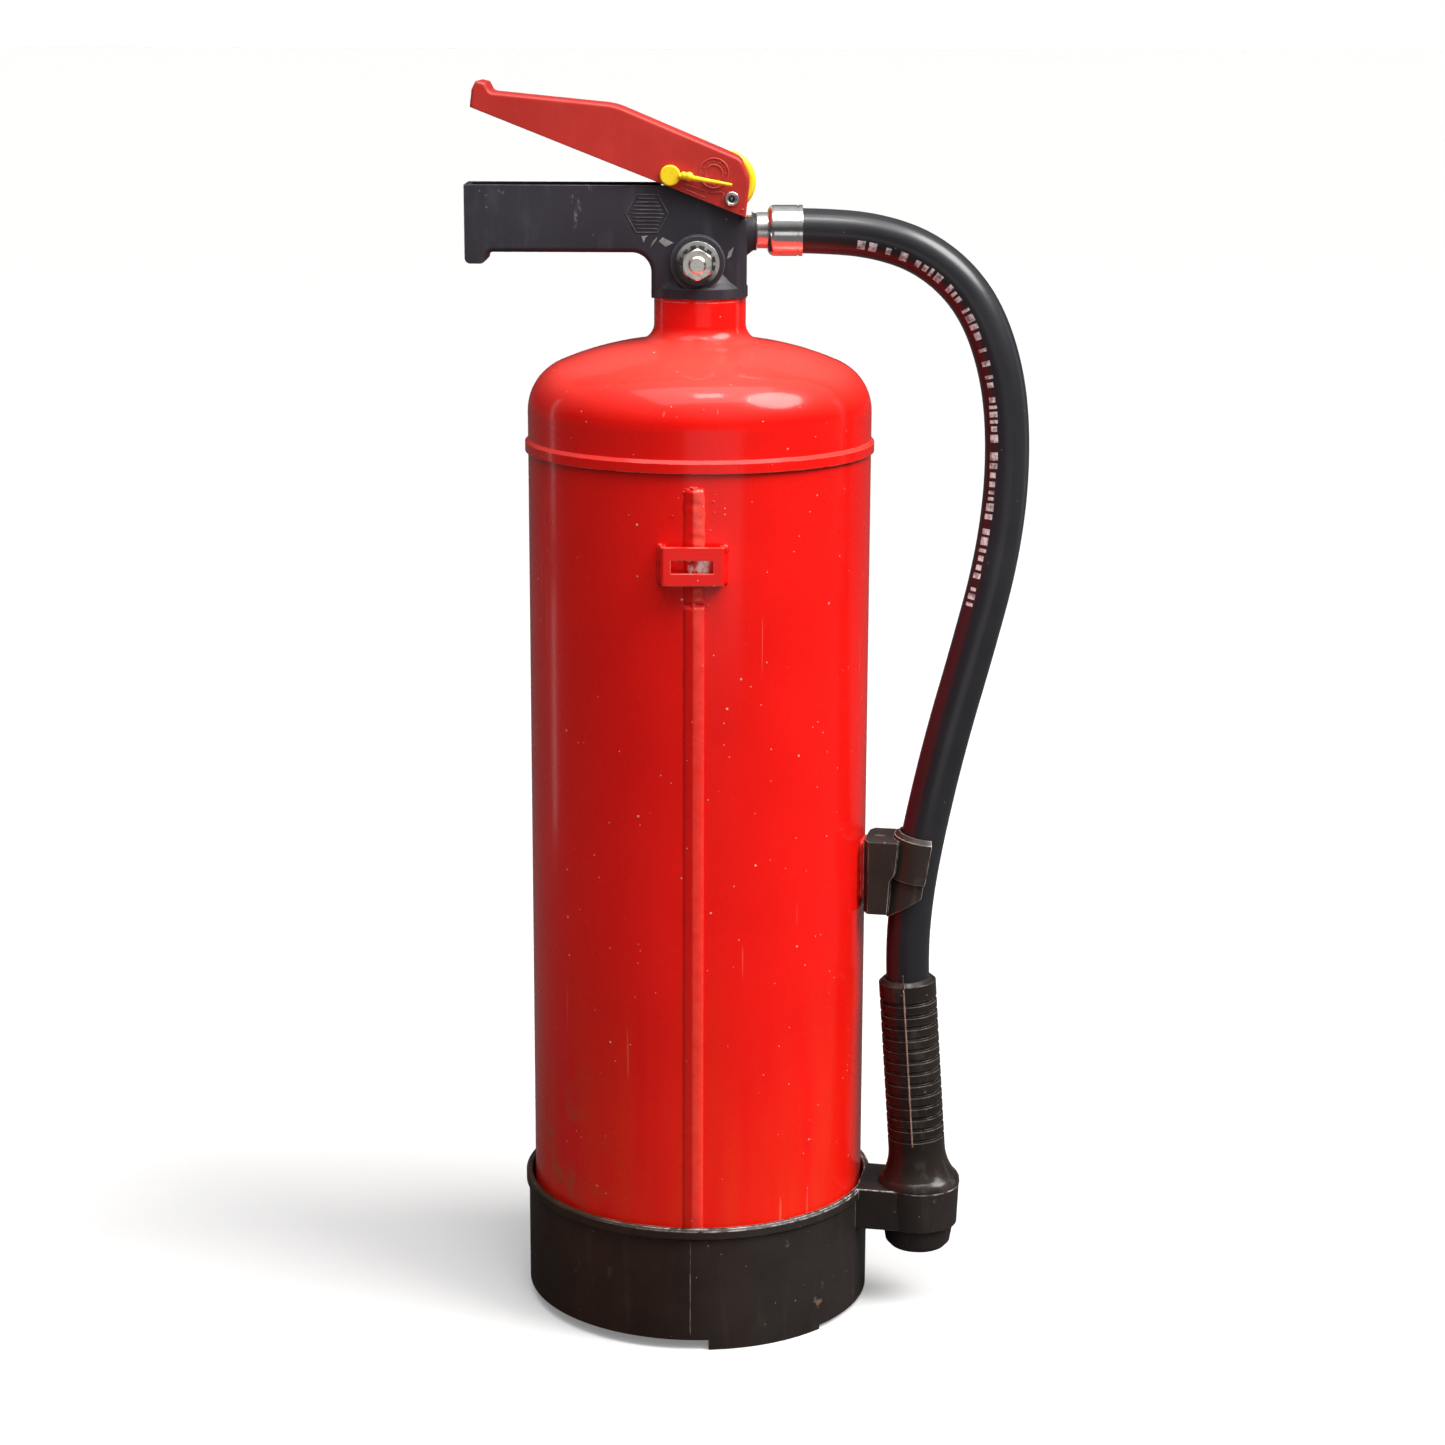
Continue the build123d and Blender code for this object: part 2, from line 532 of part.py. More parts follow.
def gauge_needle():
    """Pointer, upright at working pressure."""
    low_y = GAUGE_BACK_Y + 6.5
    hub = rod_y(2.0, GAUGE, low_y, low_y + 0.8)
    pointer = slab([(-0.9, GAUGE_Z - 4.5), (0.9, GAUGE_Z - 4.5), (0.25, GAUGE_Z + 10.5), (-0.25, GAUGE_Z + 10.5)],
                   low_y, low_y + 0.8)
    return hub + pointer - rod_y(0.9, GAUGE, 0.0, 60.0)


def gauge_lens():
    return rod_y(GAUGE_R - 1.25, GAUGE, GAUGE_BACK_Y + 8.0, GAUGE_BACK_Y + 9.2)


def gauge_bezel():
    low_y = GAUGE_BACK_Y + 9.2
    ring = rod_y(GAUGE_R, GAUGE, low_y - 0.2, low_y + 1.6)
    ring = fillet(ring.faces().sort_by(Axis.Y)[-1].edges(), 0.8)
    ring -= rod_y(GAUGE_R - 2.6, GAUGE, low_y - 1.0, low_y + 3.0)
    return ring - rod_y(GAUGE_R - 1.2, GAUGE, low_y - 1.0, low_y)


def gauge_seal():
    plane = Plane(origin=(0, GAUGE_BACK_Y - 1.25, GAUGE_Z), z_dir=(0, 1, 0))
    return plane * Torus(6.3, 1.2)


# ---------------------------------------------------------------- hose
def hose_nipple():
    """Threaded end, collar and barbed tail in one turned piece."""
    thread = rod_x(5.85, 18.2, 26.2)
    collar = rod_x(8.2, 26.2, 31.0)
    tail = rod_x(HOSE_BORE_R - 0.05, 31.0, 42.0)
    return thread + collar + tail - rod_x(3.6, 10.0, 60.0)


def outlet_seal():
    plane = Plane(origin=(17.6, 0, OUTLET_Z), z_dir=(1, 0, 0))
    return plane * Torus(5.1, 0.55)


def hose_ferrule():
    """Pressed sleeve with a rounded shoulder and a rolled end."""
    shell = rod_x(11.6, 31.0, 47.0)
    shoulder = shell.faces().sort_by(Axis.X)[0].edges()
    shell = fillet(shoulder, 3.2)
    shell -= rod_x(HOSE_R + 0.05, 32.4, 60.0)
    shell -= rod_x(HOSE_BORE_R, 20.0, 40.0)
    groove = rod_x(12.5, 44.6, 45.2) - rod_x(11.2, 44.0, 46.0)
    return shell - groove


def route_radii(points):
    """The largest arc for each corner of a route that its two runs leave room for."""
    radii = []
    for before, corner, after in zip(points, points[1:], points[2:]):
        run_in = Vector(*corner) - Vector(*before)
        run_out = Vector(*after) - Vector(*corner)
        turn = radians(run_in.get_angle(run_out))
        radii.append(HOSE_STATION * min(run_in.length, run_out.length) / tan(turn / 2))
    return radii


def hose():
    radii = route_radii(HOSE_ROUTE)
    path = FilletPolyline(*HOSE_ROUTE, radius=radii)
    section = Plane(origin=path @ 0, z_dir=path % 0) * (Circle(HOSE_R) - Circle(HOSE_BORE_R))
    tube = sweep(section, path)
    area = pi * (HOSE_R ** 2 - HOSE_BORE_R ** 2)
    print("hose radii", [round(radius) for radius in radii])
    print("hose length", round(path.length, 1), "volume ratio", round(tube.volume / (area * path.length), 4))
    return tube


# ---------------------------------------------------------------- nozzle
def along_grip(shape):
    """Places a shape built about Z, foot at 0, on the leaning line of the nozzle."""
    return at_side(Pos(HOLDER_RHO, 0, GRIP_FOOT_Z) * Rot(0, -GRIP_LEAN, 0) * shape)


def nozzle_grip():
    ribs_end = FIRST_RIB + RIB_COUNT * RIB_PITCH
    groove_half, groove_depth = 1.2, 1.3
    outline = [
        Line((0, -4), (BELL_R, -4)),
        Line((BELL_R, -4), (BELL_R, 0.8)),
        ThreePointArc((BELL_R, 0.8), (19.0, 2.6), (17.6, 4.2)),
        ThreePointArc((17.6, 4.2), (14.9, 10.0), (GRIP_R, 18.0)),
        Line((GRIP_R, 18.0), (GRIP_R, GRIP_LENGTH - 1.8)),
        Line((GRIP_R, GRIP_LENGTH - 1.8), (GRIP_R - 2.0, GRIP_LENGTH)),
        Line((GRIP_R - 2.0, GRIP_LENGTH), (0, GRIP_LENGTH)),
        Line((0, GRIP_LENGTH), (0, -4)),
    ]
    body = turned_edges(*outline)
    for index in range(RIB_COUNT + 1):
        height = FIRST_RIB + index * RIB_PITCH
        body -= turned((GRIP_R - groove_depth, height - 0.5), (GRIP_R + 0.2, height - groove_half),
                       (GRIP_R + 0.2, height + groove_half), (GRIP_R - groove_depth, height + 0.5))
    # parting line of the mould, down the side that faces -Y
    rib_length = ribs_end - FIRST_RIB + 18.0
    body += Pos(0, -GRIP_R + 0.3, FIRST_RIB - 3.0) * Box(
        0.8, 1.2, rib_length, align=(Align.CENTER, Align.CENTER, Align.MIN))
    body -= tube_z(HOSE_R + 0.2, 0.0, 75.0, 120.0)
    body -= tube_z(8.55, 0.0, -10.0, 76.0)
    placed = along_grip(body)
    return placed - block((60, 160), (-80, 40), (30, GRIP_FOOT_Z))


def nozzle_tip():
    """Rigid nozzle inside the grip; its mouth hangs in the holder's cup."""
    outline = [
        (4.2, -25.0), (7.6, -25.0), (8.5, -20.0), (8.5, 70.0), (HOSE_BORE_R - 0.1, 71.0),
        (HOSE_BORE_R - 0.1, 98.0), (4.2, 98.0),
    ]
    return along_grip(turned(*outline))


# ---------------------------------------------------------------- base ring with the nozzle holder
FOOT_STEPS = [(4, 45, 0.0), (45, 96, 2.0), (110, 150, 0.0), (212, 250, 0.0)]   # degrees from -Y, z


def wall_sector(start, end, low, high):
    """A stretch of the base ring's wall between two bearings counted from -Y."""
    wall = tube_z(BASE_R, BASE_GRIP_R + 0.3, low, high)
    centre = (start + end) / 2 - 90
    half = (end - start) / 2
    reach = 120.0
    wedge = Polyline((0, 0), polar(reach, centre - half), polar(reach * 1.3, centre), polar(reach, centre + half),
                     close=True)
    return wall & extrude(make_face(wedge), high + 1)


def base_ring():
    wall = turned(
        (BASE_GRIP_R + 0.3, BASE_FOOT_Z), (BASE_R, BASE_FOOT_Z), (BASE_R, 55.0), (BASE_LIP_R, 56.2),
        (BASE_LIP_R, 60.0), (83.6, BASE_TOP_Z), (82.0, BASE_TOP_Z), (81.4, 60.2), (81.4, 53.0),
        (BASE_GRIP_R, 50.0), (BASE_GRIP_R, 44.0), (BASE_GRIP_R + 0.3, 43.0))
    shelf = tube_z(BASE_GRIP_R + 1.0, 50.0, 16.0, 19.4)
    ring = wall + shelf
    for start, end, foot_z in FOOT_STEPS:
        ring += wall_sector(start, end, foot_z, BASE_FOOT_Z + 1)
    for index in range(12):
        rib = side_plate([(70.0, 16.0), (81.0, 16.0), (81.0, BASE_FOOT_Z + 1.0)], 1.0)
        ring += Rot(0, 0, index * 30 + 15) * rib
    arm_half = 17.6
    arm = block((BASE_R - 2.0, HOLDER_RHO), (-arm_half, arm_half), (HOLDER_BOTTOM_Z, BASE_TOP_Z))
    arm -= tube_z(81.2, 0.0, 20.0, 80.0)
    collar = Pos(HOLDER_RHO, 0, 0) * turned(
        (0, HOLDER_BOTTOM_Z), (HOLDER_R - 0.8, HOLDER_BOTTOM_Z), (HOLDER_R, BASE_TOP_Z), (0, BASE_TOP_Z))
    cup = Pos(HOLDER_RHO, 0, 0) * turned(
        (0, CUP_BOTTOM_Z), (13.4, CUP_BOTTOM_Z), (15.6, 31.4), (17.4, HOLDER_BOTTOM_Z + 1), (0, HOLDER_BOTTOM_Z + 1))
    holder = arm + collar + cup
    holder -= Pos(HOLDER_RHO, 0, 0) * turned(
        (0, CUP_BOTTOM_Z + 2.4), (13.2, CUP_BOTTOM_Z + 2.4), (15.0, 50.0), (15.6, BASE_TOP_Z + 1), (0, BASE_TOP_Z + 1))
    return ring + at_side(holder)


# ---------------------------------------------------------------- hose clip
def clip_bracket():
    """Steel pad welded to the cylinder; the clip is screwed to it."""
    pad = block((78.0, 83.5), (-7.5, 7.5), (203.0, 232.5)) - rod(SHELL_R, (0, 0, 190), (0, 0, 1), 60)
    pad = fillet(pad.edges().filter_by(Axis.X), 3.0)
    return at_side(pad - rod(1.6, (70, 0, 217), (1, 0, 0), 30))


def clip_screw():
    head = rod(3.4, (89.2, 0, 217), (1, 0, 0), 2.0)
    shank = rod(1.6, (81.5, 0, 217), (1, 0, 0), 8.0)
    return at_side(head + shank)


def hose_clip():
    side = [
        (81.2, 198.5), (93.4, 198.5), (94.6, 215.0), (96.6, 218.0), (97.4, 223.0), (98.2, 233.4),
        (97.6, 234.0), (81.8, 234.0), (81.2, 233.0),
    ]
    body = side_plate(side, 13.5)
    body = fillet(body.edges().filter_by(Axis.X).filter_by(lambda e: e.center().Z > 230), 0.8)
    relief = extrude(make_face(Polyline((70, 8.6), (81.6, 8.6), (84.4, 14), (70, 14), close=True)), 300)
    body -= relief + mirror(relief, Plane.XZ)
    body -= rod(SHELL_R + 0.3, (0, 0, 190), (0, 0, 1), 60)
    body -= block((70.0, 83.6), (-7.7, 7.7), (202.8, 240.0 - 7.3))
    body -= rod(1.7, (80, 0, 217), (1, 0, 0), 20) + rod(3.8, (89.2, 0, 217), (1, 0, 0), 20)
    body -= Pos(88.0, -1.0, 234.0) * Box(4.0, 1.3, 6.0)
    neck = block((91.0, 97.5), (-6.0, 6.0), (216.0, 233.0))
    neck -= rod(4.2, (89.2, 0, 217), (1, 0, 0), 20)
    half_jaw, sleeve_low, mouth = 10.0, -29.5, 62.0
    jaw = tube_z(JAW_BORE_R + 2.6, JAW_BORE_R, -half_jaw, half_jaw)
    jaw += turned((JAW_BORE_R, half_jaw), (JAW_BORE_R + 2.2, half_jaw), (JAW_BORE_R + 0.7, half_jaw + 2.0),
                  (JAW_BORE_R, half_jaw + 2.0))
    sleeve = tube_z(JAW_BORE_R + 1.3, JAW_BORE_R, sleeve_low, -half_jaw)
    reach = 60.0
    slope = [(-13.0, sleeve_low + 2.5), (-9.0, sleeve_low), (4.0, -half_jaw - 8.5),
             (7.4, -half_jaw - 5.0), (7.6, -half_jaw), (-13.0, -half_jaw)]
    sleeve &= side_plate(slope, 20.0)
    opening = extrude(make_face(Polyline((0, 0), polar(reach, -mouth), polar(reach, mouth), close=True)),
                      reach, both=True)
    jaw = jaw + sleeve - opening
    place = Pos(JAW_CENTRE[0], 0, JAW_CENTRE[1]) * Rot(0, JAW_LEAN, 0)
    bore = place * Cylinder(JAW_BORE_R, 2 * reach)
    clip = (body + neck - bore) + place * jaw
    return at_side(clip)


# ---------------------------------------------------------------- export
NODES = [
    cylinder_shell, top_dome, bottom_dome, neck_ring, wall_bracket, powder_charge,
    valve_body, valve_stem, valve_seal, seal_nut, stem_o_ring, neck_o_ring, dip_tube_adapter,
    valve_spring, dip_tube, carrying_handle, operating_lever, lever_pivot_pin, safety_pin, pull_ring,
    tamper_seal, stud_bolt, flat_washer, lock_washer, hex_nut, gauge_case, bourdon_tube, gauge_dial,
    needle_shaft, gauge_needle, gauge_lens, gauge_bezel, gauge_seal, hose_nipple, outlet_seal,
    hose_ferrule, hose, nozzle_grip, nozzle_tip, base_ring, clip_bracket, clip_screw, hose_clip,
]

for make_node in NODES:
    export_step(make_node(), f"parts/{make_node.__name__}.step")
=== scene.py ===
import json
import random
from math import cos, pi, radians, sin

import bpy
from mathutils import Euler, Matrix, Vector, noise


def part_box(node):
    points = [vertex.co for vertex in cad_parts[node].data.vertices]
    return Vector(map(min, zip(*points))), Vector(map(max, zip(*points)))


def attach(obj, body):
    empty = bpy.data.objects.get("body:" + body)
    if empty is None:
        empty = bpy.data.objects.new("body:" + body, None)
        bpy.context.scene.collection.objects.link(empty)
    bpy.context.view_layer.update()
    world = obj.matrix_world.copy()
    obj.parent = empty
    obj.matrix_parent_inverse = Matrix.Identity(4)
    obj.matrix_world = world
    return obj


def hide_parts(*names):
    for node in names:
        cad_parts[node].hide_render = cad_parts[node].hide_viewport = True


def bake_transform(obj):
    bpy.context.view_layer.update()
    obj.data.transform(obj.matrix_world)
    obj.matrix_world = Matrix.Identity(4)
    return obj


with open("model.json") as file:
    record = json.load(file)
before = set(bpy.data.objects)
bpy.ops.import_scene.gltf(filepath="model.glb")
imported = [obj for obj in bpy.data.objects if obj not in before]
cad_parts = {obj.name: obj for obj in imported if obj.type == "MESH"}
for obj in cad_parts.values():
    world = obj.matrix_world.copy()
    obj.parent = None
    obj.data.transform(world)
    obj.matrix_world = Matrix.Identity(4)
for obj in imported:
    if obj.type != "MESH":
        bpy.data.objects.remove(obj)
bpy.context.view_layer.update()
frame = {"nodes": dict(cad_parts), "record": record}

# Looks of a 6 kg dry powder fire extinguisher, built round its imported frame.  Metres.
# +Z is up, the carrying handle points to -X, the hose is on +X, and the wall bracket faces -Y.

MM = 0.001
nodes = frame["nodes"]
scene = bpy.context.scene


# ---------------------------------------------------------------- camera
CAMERA_PLACE = (0.01116, -1.40916, 0.61485)
CAMERA_TILT = radians(76.812)
CAMERA_ROLL = radians(0.225)
CAMERA_LENS = 75.6


def make_camera():
    data = bpy.data.cameras.new("camera")
    data.lens = CAMERA_LENS
    data.sensor_width = 36.0
    data.clip_end = 50.0
    camera = bpy.data.objects.new("camera", data)
    scene.collection.objects.link(camera)
    turn = Matrix.Rotation(CAMERA_TILT, 4, "X") @ Matrix.Rotation(CAMERA_ROLL, 4, "Z")
    camera.matrix_world = Matrix.Translation(CAMERA_PLACE) @ turn
    scene.camera = camera


# ---------------------------------------------------------------- material building
class Nodes:
    """One material's node tree, with short calls for the nodes that the materials share."""

    def __init__(self, name):
        self.material = bpy.data.materials.new(name)
        self.material.use_nodes = True
        self.tree = self.material.node_tree
        self.shader = self.tree.nodes["Principled BSDF"]
        self.place = self.add("ShaderNodeTexCoord").outputs["Object"]

    def add(self, kind, inputs=None, **settings):
        node = self.tree.nodes.new(kind)
        for key, value in settings.items():
            setattr(node, key, value)
        for key, value in (inputs or {}).items():
            self.feed(node.inputs[key], value)
        return node

    def feed(self, socket, value):
        if isinstance(value, bpy.types.NodeSocket):
            self.tree.links.new(value, socket)
        else:
            socket.default_value = value

    def set(self, **values):
        """Feeds the shader's sockets; an underscore in a key stands for a space."""
        for key, value in values.items():
            if isinstance(value, tuple) and len(value) == 3 and "Color" in key:
                value = (*value, 1.0)
            self.feed(self.shader.inputs[key.replace("_", " ")], value)

    def math(self, operation, a, b=0.0, clamp=False):
        node = self.add("ShaderNodeMath", operation=operation, use_clamp=clamp)
        self.feed(node.inputs[0], a)
        self.feed(node.inputs[1], b)
        return node.outputs[0]

    def stretched(self, factors):
        """The place with each axis multiplied, for streaks."""
        node = self.add("ShaderNodeVectorMath", operation="MULTIPLY")
        self.feed(node.inputs[0], self.place)
        self.feed(node.inputs[1], factors)
        return node.outputs[0]

    def noise(self, scale, detail=3.0, roughness=0.55, vector=None):
        node = self.add("ShaderNodeTexNoise", {
            "Vector": vector or self.place, "Scale": scale, "Detail": detail, "Roughness": roughness})
        return node.outputs["Fac"]

    def step(self, value, low, high):
        """0 below low and 1 above high, or the other way round when low is the larger."""
        node = self.add("ShaderNodeMapRange", {0: value, 1: low, 2: high, 3: 0.0, 4: 1.0})
        return node.outputs[0]

    def span(self, value, low, high):
        """Maps 0 to 1 on low to high."""
        node = self.add("ShaderNodeMapRange", {0: value, 1: 0.0, 2: 1.0, 3: low, 4: high})
        return node.outputs[0]

    def mix(self, share, a, b):
        """Colour a where the share is 0, and colour b where it is 1."""
        node = self.add("ShaderNodeMix", data_type="RGBA")
        self.feed(node.inputs[0], share)
        self.feed(node.inputs[6], a if isinstance(a, bpy.types.NodeSocket) else (*a, 1.0))
        self.feed(node.inputs[7], b if isinstance(b, bpy.types.NodeSocket) else (*b, 1.0))
        return node.outputs[2]

    def both(self, *shares):
        """The product of shares: 1 only where each of them is 1."""
        out = shares[0]
        for share in shares[1:]:
            out = self.math("MULTIPLY", out, share)
        return out

    def either(self, a, b):
        return self.math("MAXIMUM", a, b)

    def axis(self, letter, vector=None):
        node = self.add("ShaderNodeSeparateXYZ", {0: vector or self.place})
        return node.outputs["XYZ".index(letter)]

    def edge(self, radius, low=0.04, high=0.25):
        """1 on edges of that radius, 0 on flat surfaces."""
        bevel = self.add("ShaderNodeBevel", {"Radius": radius}, samples=6)
        flat = self.add("ShaderNodeNewGeometry").outputs["Normal"]
        dot = self.add("ShaderNodeVectorMath", {0: bevel.outputs[0], 1: flat}, operation="DOT_PRODUCT")
        return self.step(self.math("SUBTRACT", 1.0, dot.outputs["Value"]), low, high)

    def specks(self, scale, size, share):
        """Small round dots; size is a dot's radius as a share of its cell."""
        cells = self.add("ShaderNodeTexVoronoi", {"Vector": self.place, "Scale": scale})
        near = self.step(cells.outputs["Distance"], size, size * 0.6)
        chosen = self.step(self.axis("X", cells.outputs["Color"]), 1.0 - share, 1.0 - share + 0.01)
        return self.both(near, chosen)

    def bump(self, *heights, edges=0.0):
        """Chains (height, depth in metres) pairs into the shader's normal, with rounded edges if asked."""
        normal = None
        if edges:
            normal = self.add("ShaderNodeBevel", {"Radius": edges}, samples=6).outputs[0]
        for height, depth in heights:
            node = self.add("ShaderNodeBump", {"Height": height, "Distance": depth, "Strength": 1.0})
            if normal is not None:
                self.feed(node.inputs["Normal"], normal)
            normal = node.outputs[0]
        self.feed(self.shader.inputs["Normal"], normal)


# ---------------------------------------------------------------- materials
SHELL_R = (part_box("bottom_dome")[1].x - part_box("bottom_dome")[0].x) / 2
BRACKET_LOW, BRACKET_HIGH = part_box("wall_bracket")
SEAM_X = -0.0020
SEAM_STRIP = 0.0050                     # width of the seam's lapped strip
SEAM_FOOT_Z, SEAM_TOP_Z = 0.0585, 0.4095
SEAM_GAP_Z = BRACKET_LOW.z - 0.0100     # middle of the short break between the seam's two stretches


def red_paint():
    """Glossy powder coat, dusty, rubbed at its edges, with a painted sheen on faces that look up and a
    painted highlight on the seam's lapped strip; behind the bracket's slot, unpainted sheet and a painted
    highlight on the seam, with dark red streaks.
    """
    m = Nodes("red_paint")
    x, y, z = m.axis("X"), m.axis("Y"), m.axis("Z")
    cloud = m.noise(9.0, 4.0)
    streaks = m.noise(1.0, 4.0, 0.6, m.stretched((60.0, 60.0, 5.0)))
    colour = m.mix(m.step(cloud, 0.3, 0.7), (0.72, 0.005, 0.003), (0.86, 0.009, 0.005))
    # thinner, more orange coat low down, with a brown stain above the base ring
    low = m.both(m.step(z, 0.20, 0.07), m.step(streaks, 0.35, 0.75))
    colour = m.mix(m.math("MULTIPLY", low, 0.35), colour, (0.70, 0.07, 0.012))
    stain = m.both(m.step(z, 0.15, 0.085), m.step(x, -0.035, -0.07), m.step(m.noise(45.0, 5.0), 0.52, 0.66))
    colour = m.mix(m.math("MULTIPLY", stain, 0.55), colour, (0.24, 0.10, 0.03))
    # dust and a painted sheen on faces that look up, and scattered specks
    up = m.axis("Z", m.add("ShaderNodeNewGeometry").outputs["Normal"])
    dust_and_sheen = m.both(m.step(up, 0.15, 0.95), m.step(m.noise(7.0, 2.0), 0.1, 0.8))
    colour = m.mix(m.math("MULTIPLY", dust_and_sheen, 0.22), colour, (0.90, 0.30, 0.22))
    specks = m.either(m.specks(150.0, 0.10, 0.10), m.specks(420.0, 0.16, 0.035))
    colour = m.mix(m.math("MULTIPLY", specks, 0.75), colour, (0.86, 0.50, 0.42))
    # fine upright scratches
    scratch = m.step(m.noise(1.0, 2.0, 0.4, m.stretched((420.0, 420.0, 11.0))), 0.735, 0.76)
    colour = m.mix(m.math("MULTIPLY", scratch, 0.2), colour, (0.88, 0.34, 0.26))
    # edges rubbed thin
    rubbed = m.both(m.edge(0.0009), m.step(m.noise(160.0, 4.0), 0.32, 0.52))
    colour = m.mix(m.math("MULTIPLY", rubbed, 0.75), colour, (0.95, 0.44, 0.37))
    # a painted highlight along the lapped strip of the seam, stronger above the gap
    strip = m.both(
        m.step(x, SEAM_X - 0.0006, SEAM_X + 0.0002),
        m.step(x, SEAM_X + SEAM_STRIP + 0.0010, SEAM_X + SEAM_STRIP),
        m.step(z, SEAM_TOP_Z + 0.001, SEAM_TOP_Z),
        m.step(y, -0.0004 - SHELL_R, -0.0008 - SHELL_R), m.step(y, -0.0028 - SHELL_R, -0.0024 - SHELL_R))
    more_above = m.span(m.step(z, SEAM_GAP_Z - 0.0017, SEAM_GAP_Z + 0.0133), 0.5, 1.0)
    pale = m.both(strip, m.span(m.noise(300.0, 4.0), 0.05, 0.55), more_above)
    colour = m.mix(pale, colour, (0.95, 0.20, 0.14))
    # behind the bracket's slot the seam shows as unpainted sheet with a painted highlight on its ridge, and
    # dark red streaks lie over the slot
    slot = m.both(
        m.step(x, BRACKET_LOW.x + 0.003, BRACKET_LOW.x + 0.006),
        m.step(x, BRACKET_HIGH.x - 0.003, BRACKET_HIGH.x - 0.006),
        m.step(z, BRACKET_LOW.z + 0.001, BRACKET_LOW.z + 0.003),
        m.step(z, BRACKET_HIGH.z - 0.001, BRACKET_HIGH.z - 0.003),
        m.step(y, BRACKET_LOW.y + 0.0038, BRACKET_LOW.y + 0.0042),
        m.step(y, 0.010 - SHELL_R, 0.008 - SHELL_R))
    bare_and_highlight = m.both(slot, m.step(m.noise(260.0, 2.0), 0.42, 0.5),
                  m.step(x, SEAM_X - 0.0030, SEAM_X - 0.0010), m.step(x, SEAM_X + 0.0075, SEAM_X + 0.0055))
    colour = m.mix(bare_and_highlight, colour, (0.88, 0.74, 0.70))
    hatch = m.both(slot, m.step(m.noise(1.0, 3.0, 0.6, m.stretched((900.0, 200.0, 300.0))), 0.5, 0.62))
    colour = m.mix(m.math("MULTIPLY", hatch, 0.55), colour, (0.22, 0.02, 0.02))
    m.set(Base_Color=colour, Specular_IOR_Level=0.12)
    m.set(Coat_Weight=0.42, Coat_Roughness=m.span(up, 0.14, 0.09))
    rough = m.span(m.noise(30.0, 4.0), 0.20, 0.34)
    m.set(Roughness=m.math("ADD", rough, m.math("MULTIPLY", m.either(specks, dust_and_sheen), 0.25), clamp=True))
    peel = m.noise(520.0, 2.0, 0.5)
    waves = m.noise(28.0, 2.0, 0.5, m.stretched((1.0, 1.0, 0.35)))
    m.bump((waves, 0.00018), (peel, 0.000018), (specks, 0.00012), edges=0.0007)
    return m.material


def moulded(name, dark, light, worn, roughness, edge_share=0.8, scuffs=0.5, dust=0.3, edges=0.0006):
    """Moulded plastic or rubber with pale rubbed edges, scuffs, dust and a fine grain."""
    m = Nodes(name)
    colour = m.mix(m.step(m.noise(14.0, 5.0, 0.6), 0.3, 0.72), dark, light)
    smears = m.noise(1.0, 4.0, 0.6, m.stretched((90.0, 90.0, 24.0)))
    colour = m.mix(m.math("MULTIPLY", m.step(smears, 0.55, 0.8), dust), colour, worn)
    scuff = m.both(m.step(m.noise(1.0, 5.0, 0.7, m.stretched((120.0, 120.0, 55.0))), 0.63, 0.70),
                   m.step(m.noise(22.0, 2.0), 0.5, 0.62))
    colour = m.mix(m.math("MULTIPLY", scuff, scuffs), colour, worn)
    specks = m.specks(330.0, 0.14, 0.06)
    colour = m.mix(m.math("MULTIPLY", specks, 0.5), colour, worn)
    rubbed = m.both(m.edge(edges * 1.5), m.step(m.noise(120.0, 5.0, 0.65), 0.34, 0.62))
    colour = m.mix(m.math("MULTIPLY", rubbed, edge_share), colour, worn)
    m.set(Base_Color=colour, Specular_IOR_Level=0.3)
    m.set(Roughness=m.span(m.noise(40.0, 4.0), roughness - 0.07, roughness + 0.1))
    m.bump((m.noise(34.0, 3.0), 0.00022), (m.noise(900.0, 2.0), 0.00003), (scuff, 0.00006), edges=edges)
    return m.material


def black_plastic():
    return moulded("black_plastic", (0.022, 0.021, 0.027), (0.040, 0.037, 0.047), (0.32, 0.31, 0.33),
                   0.42, edge_share=0.55, scuffs=0.45, dust=0.10, edges=0.0007)


def red_plastic():
    return moulded("red_plastic", (0.40, 0.024, 0.020), (0.54, 0.036, 0.026), (0.78, 0.20, 0.15),
                   0.33, edge_share=0.55, scuffs=0.16, dust=0.08, edges=0.0009)


def clip_plastic():
    return moulded("clip_plastic", (0.022, 0.016, 0.013), (0.048, 0.037, 0.031), (0.80, 0.70, 0.64),
                   0.34, edge_share=1.0, scuffs=0.30, dust=0.10)


def grip_rubber():
    return moulded("grip_rubber", (0.010, 0.007, 0.006), (0.026, 0.020, 0.017), (0.46, 0.38, 0.33),
                   0.20, edge_share=0.55, scuffs=0.25, dust=0.12)


def tip_plastic():
    return moulded("tip_plastic", (0.020, 0.020, 0.020), (0.035, 0.035, 0.035), (0.25, 0.25, 0.25), 0.4)


BASE_RIM_Z = 0.0600


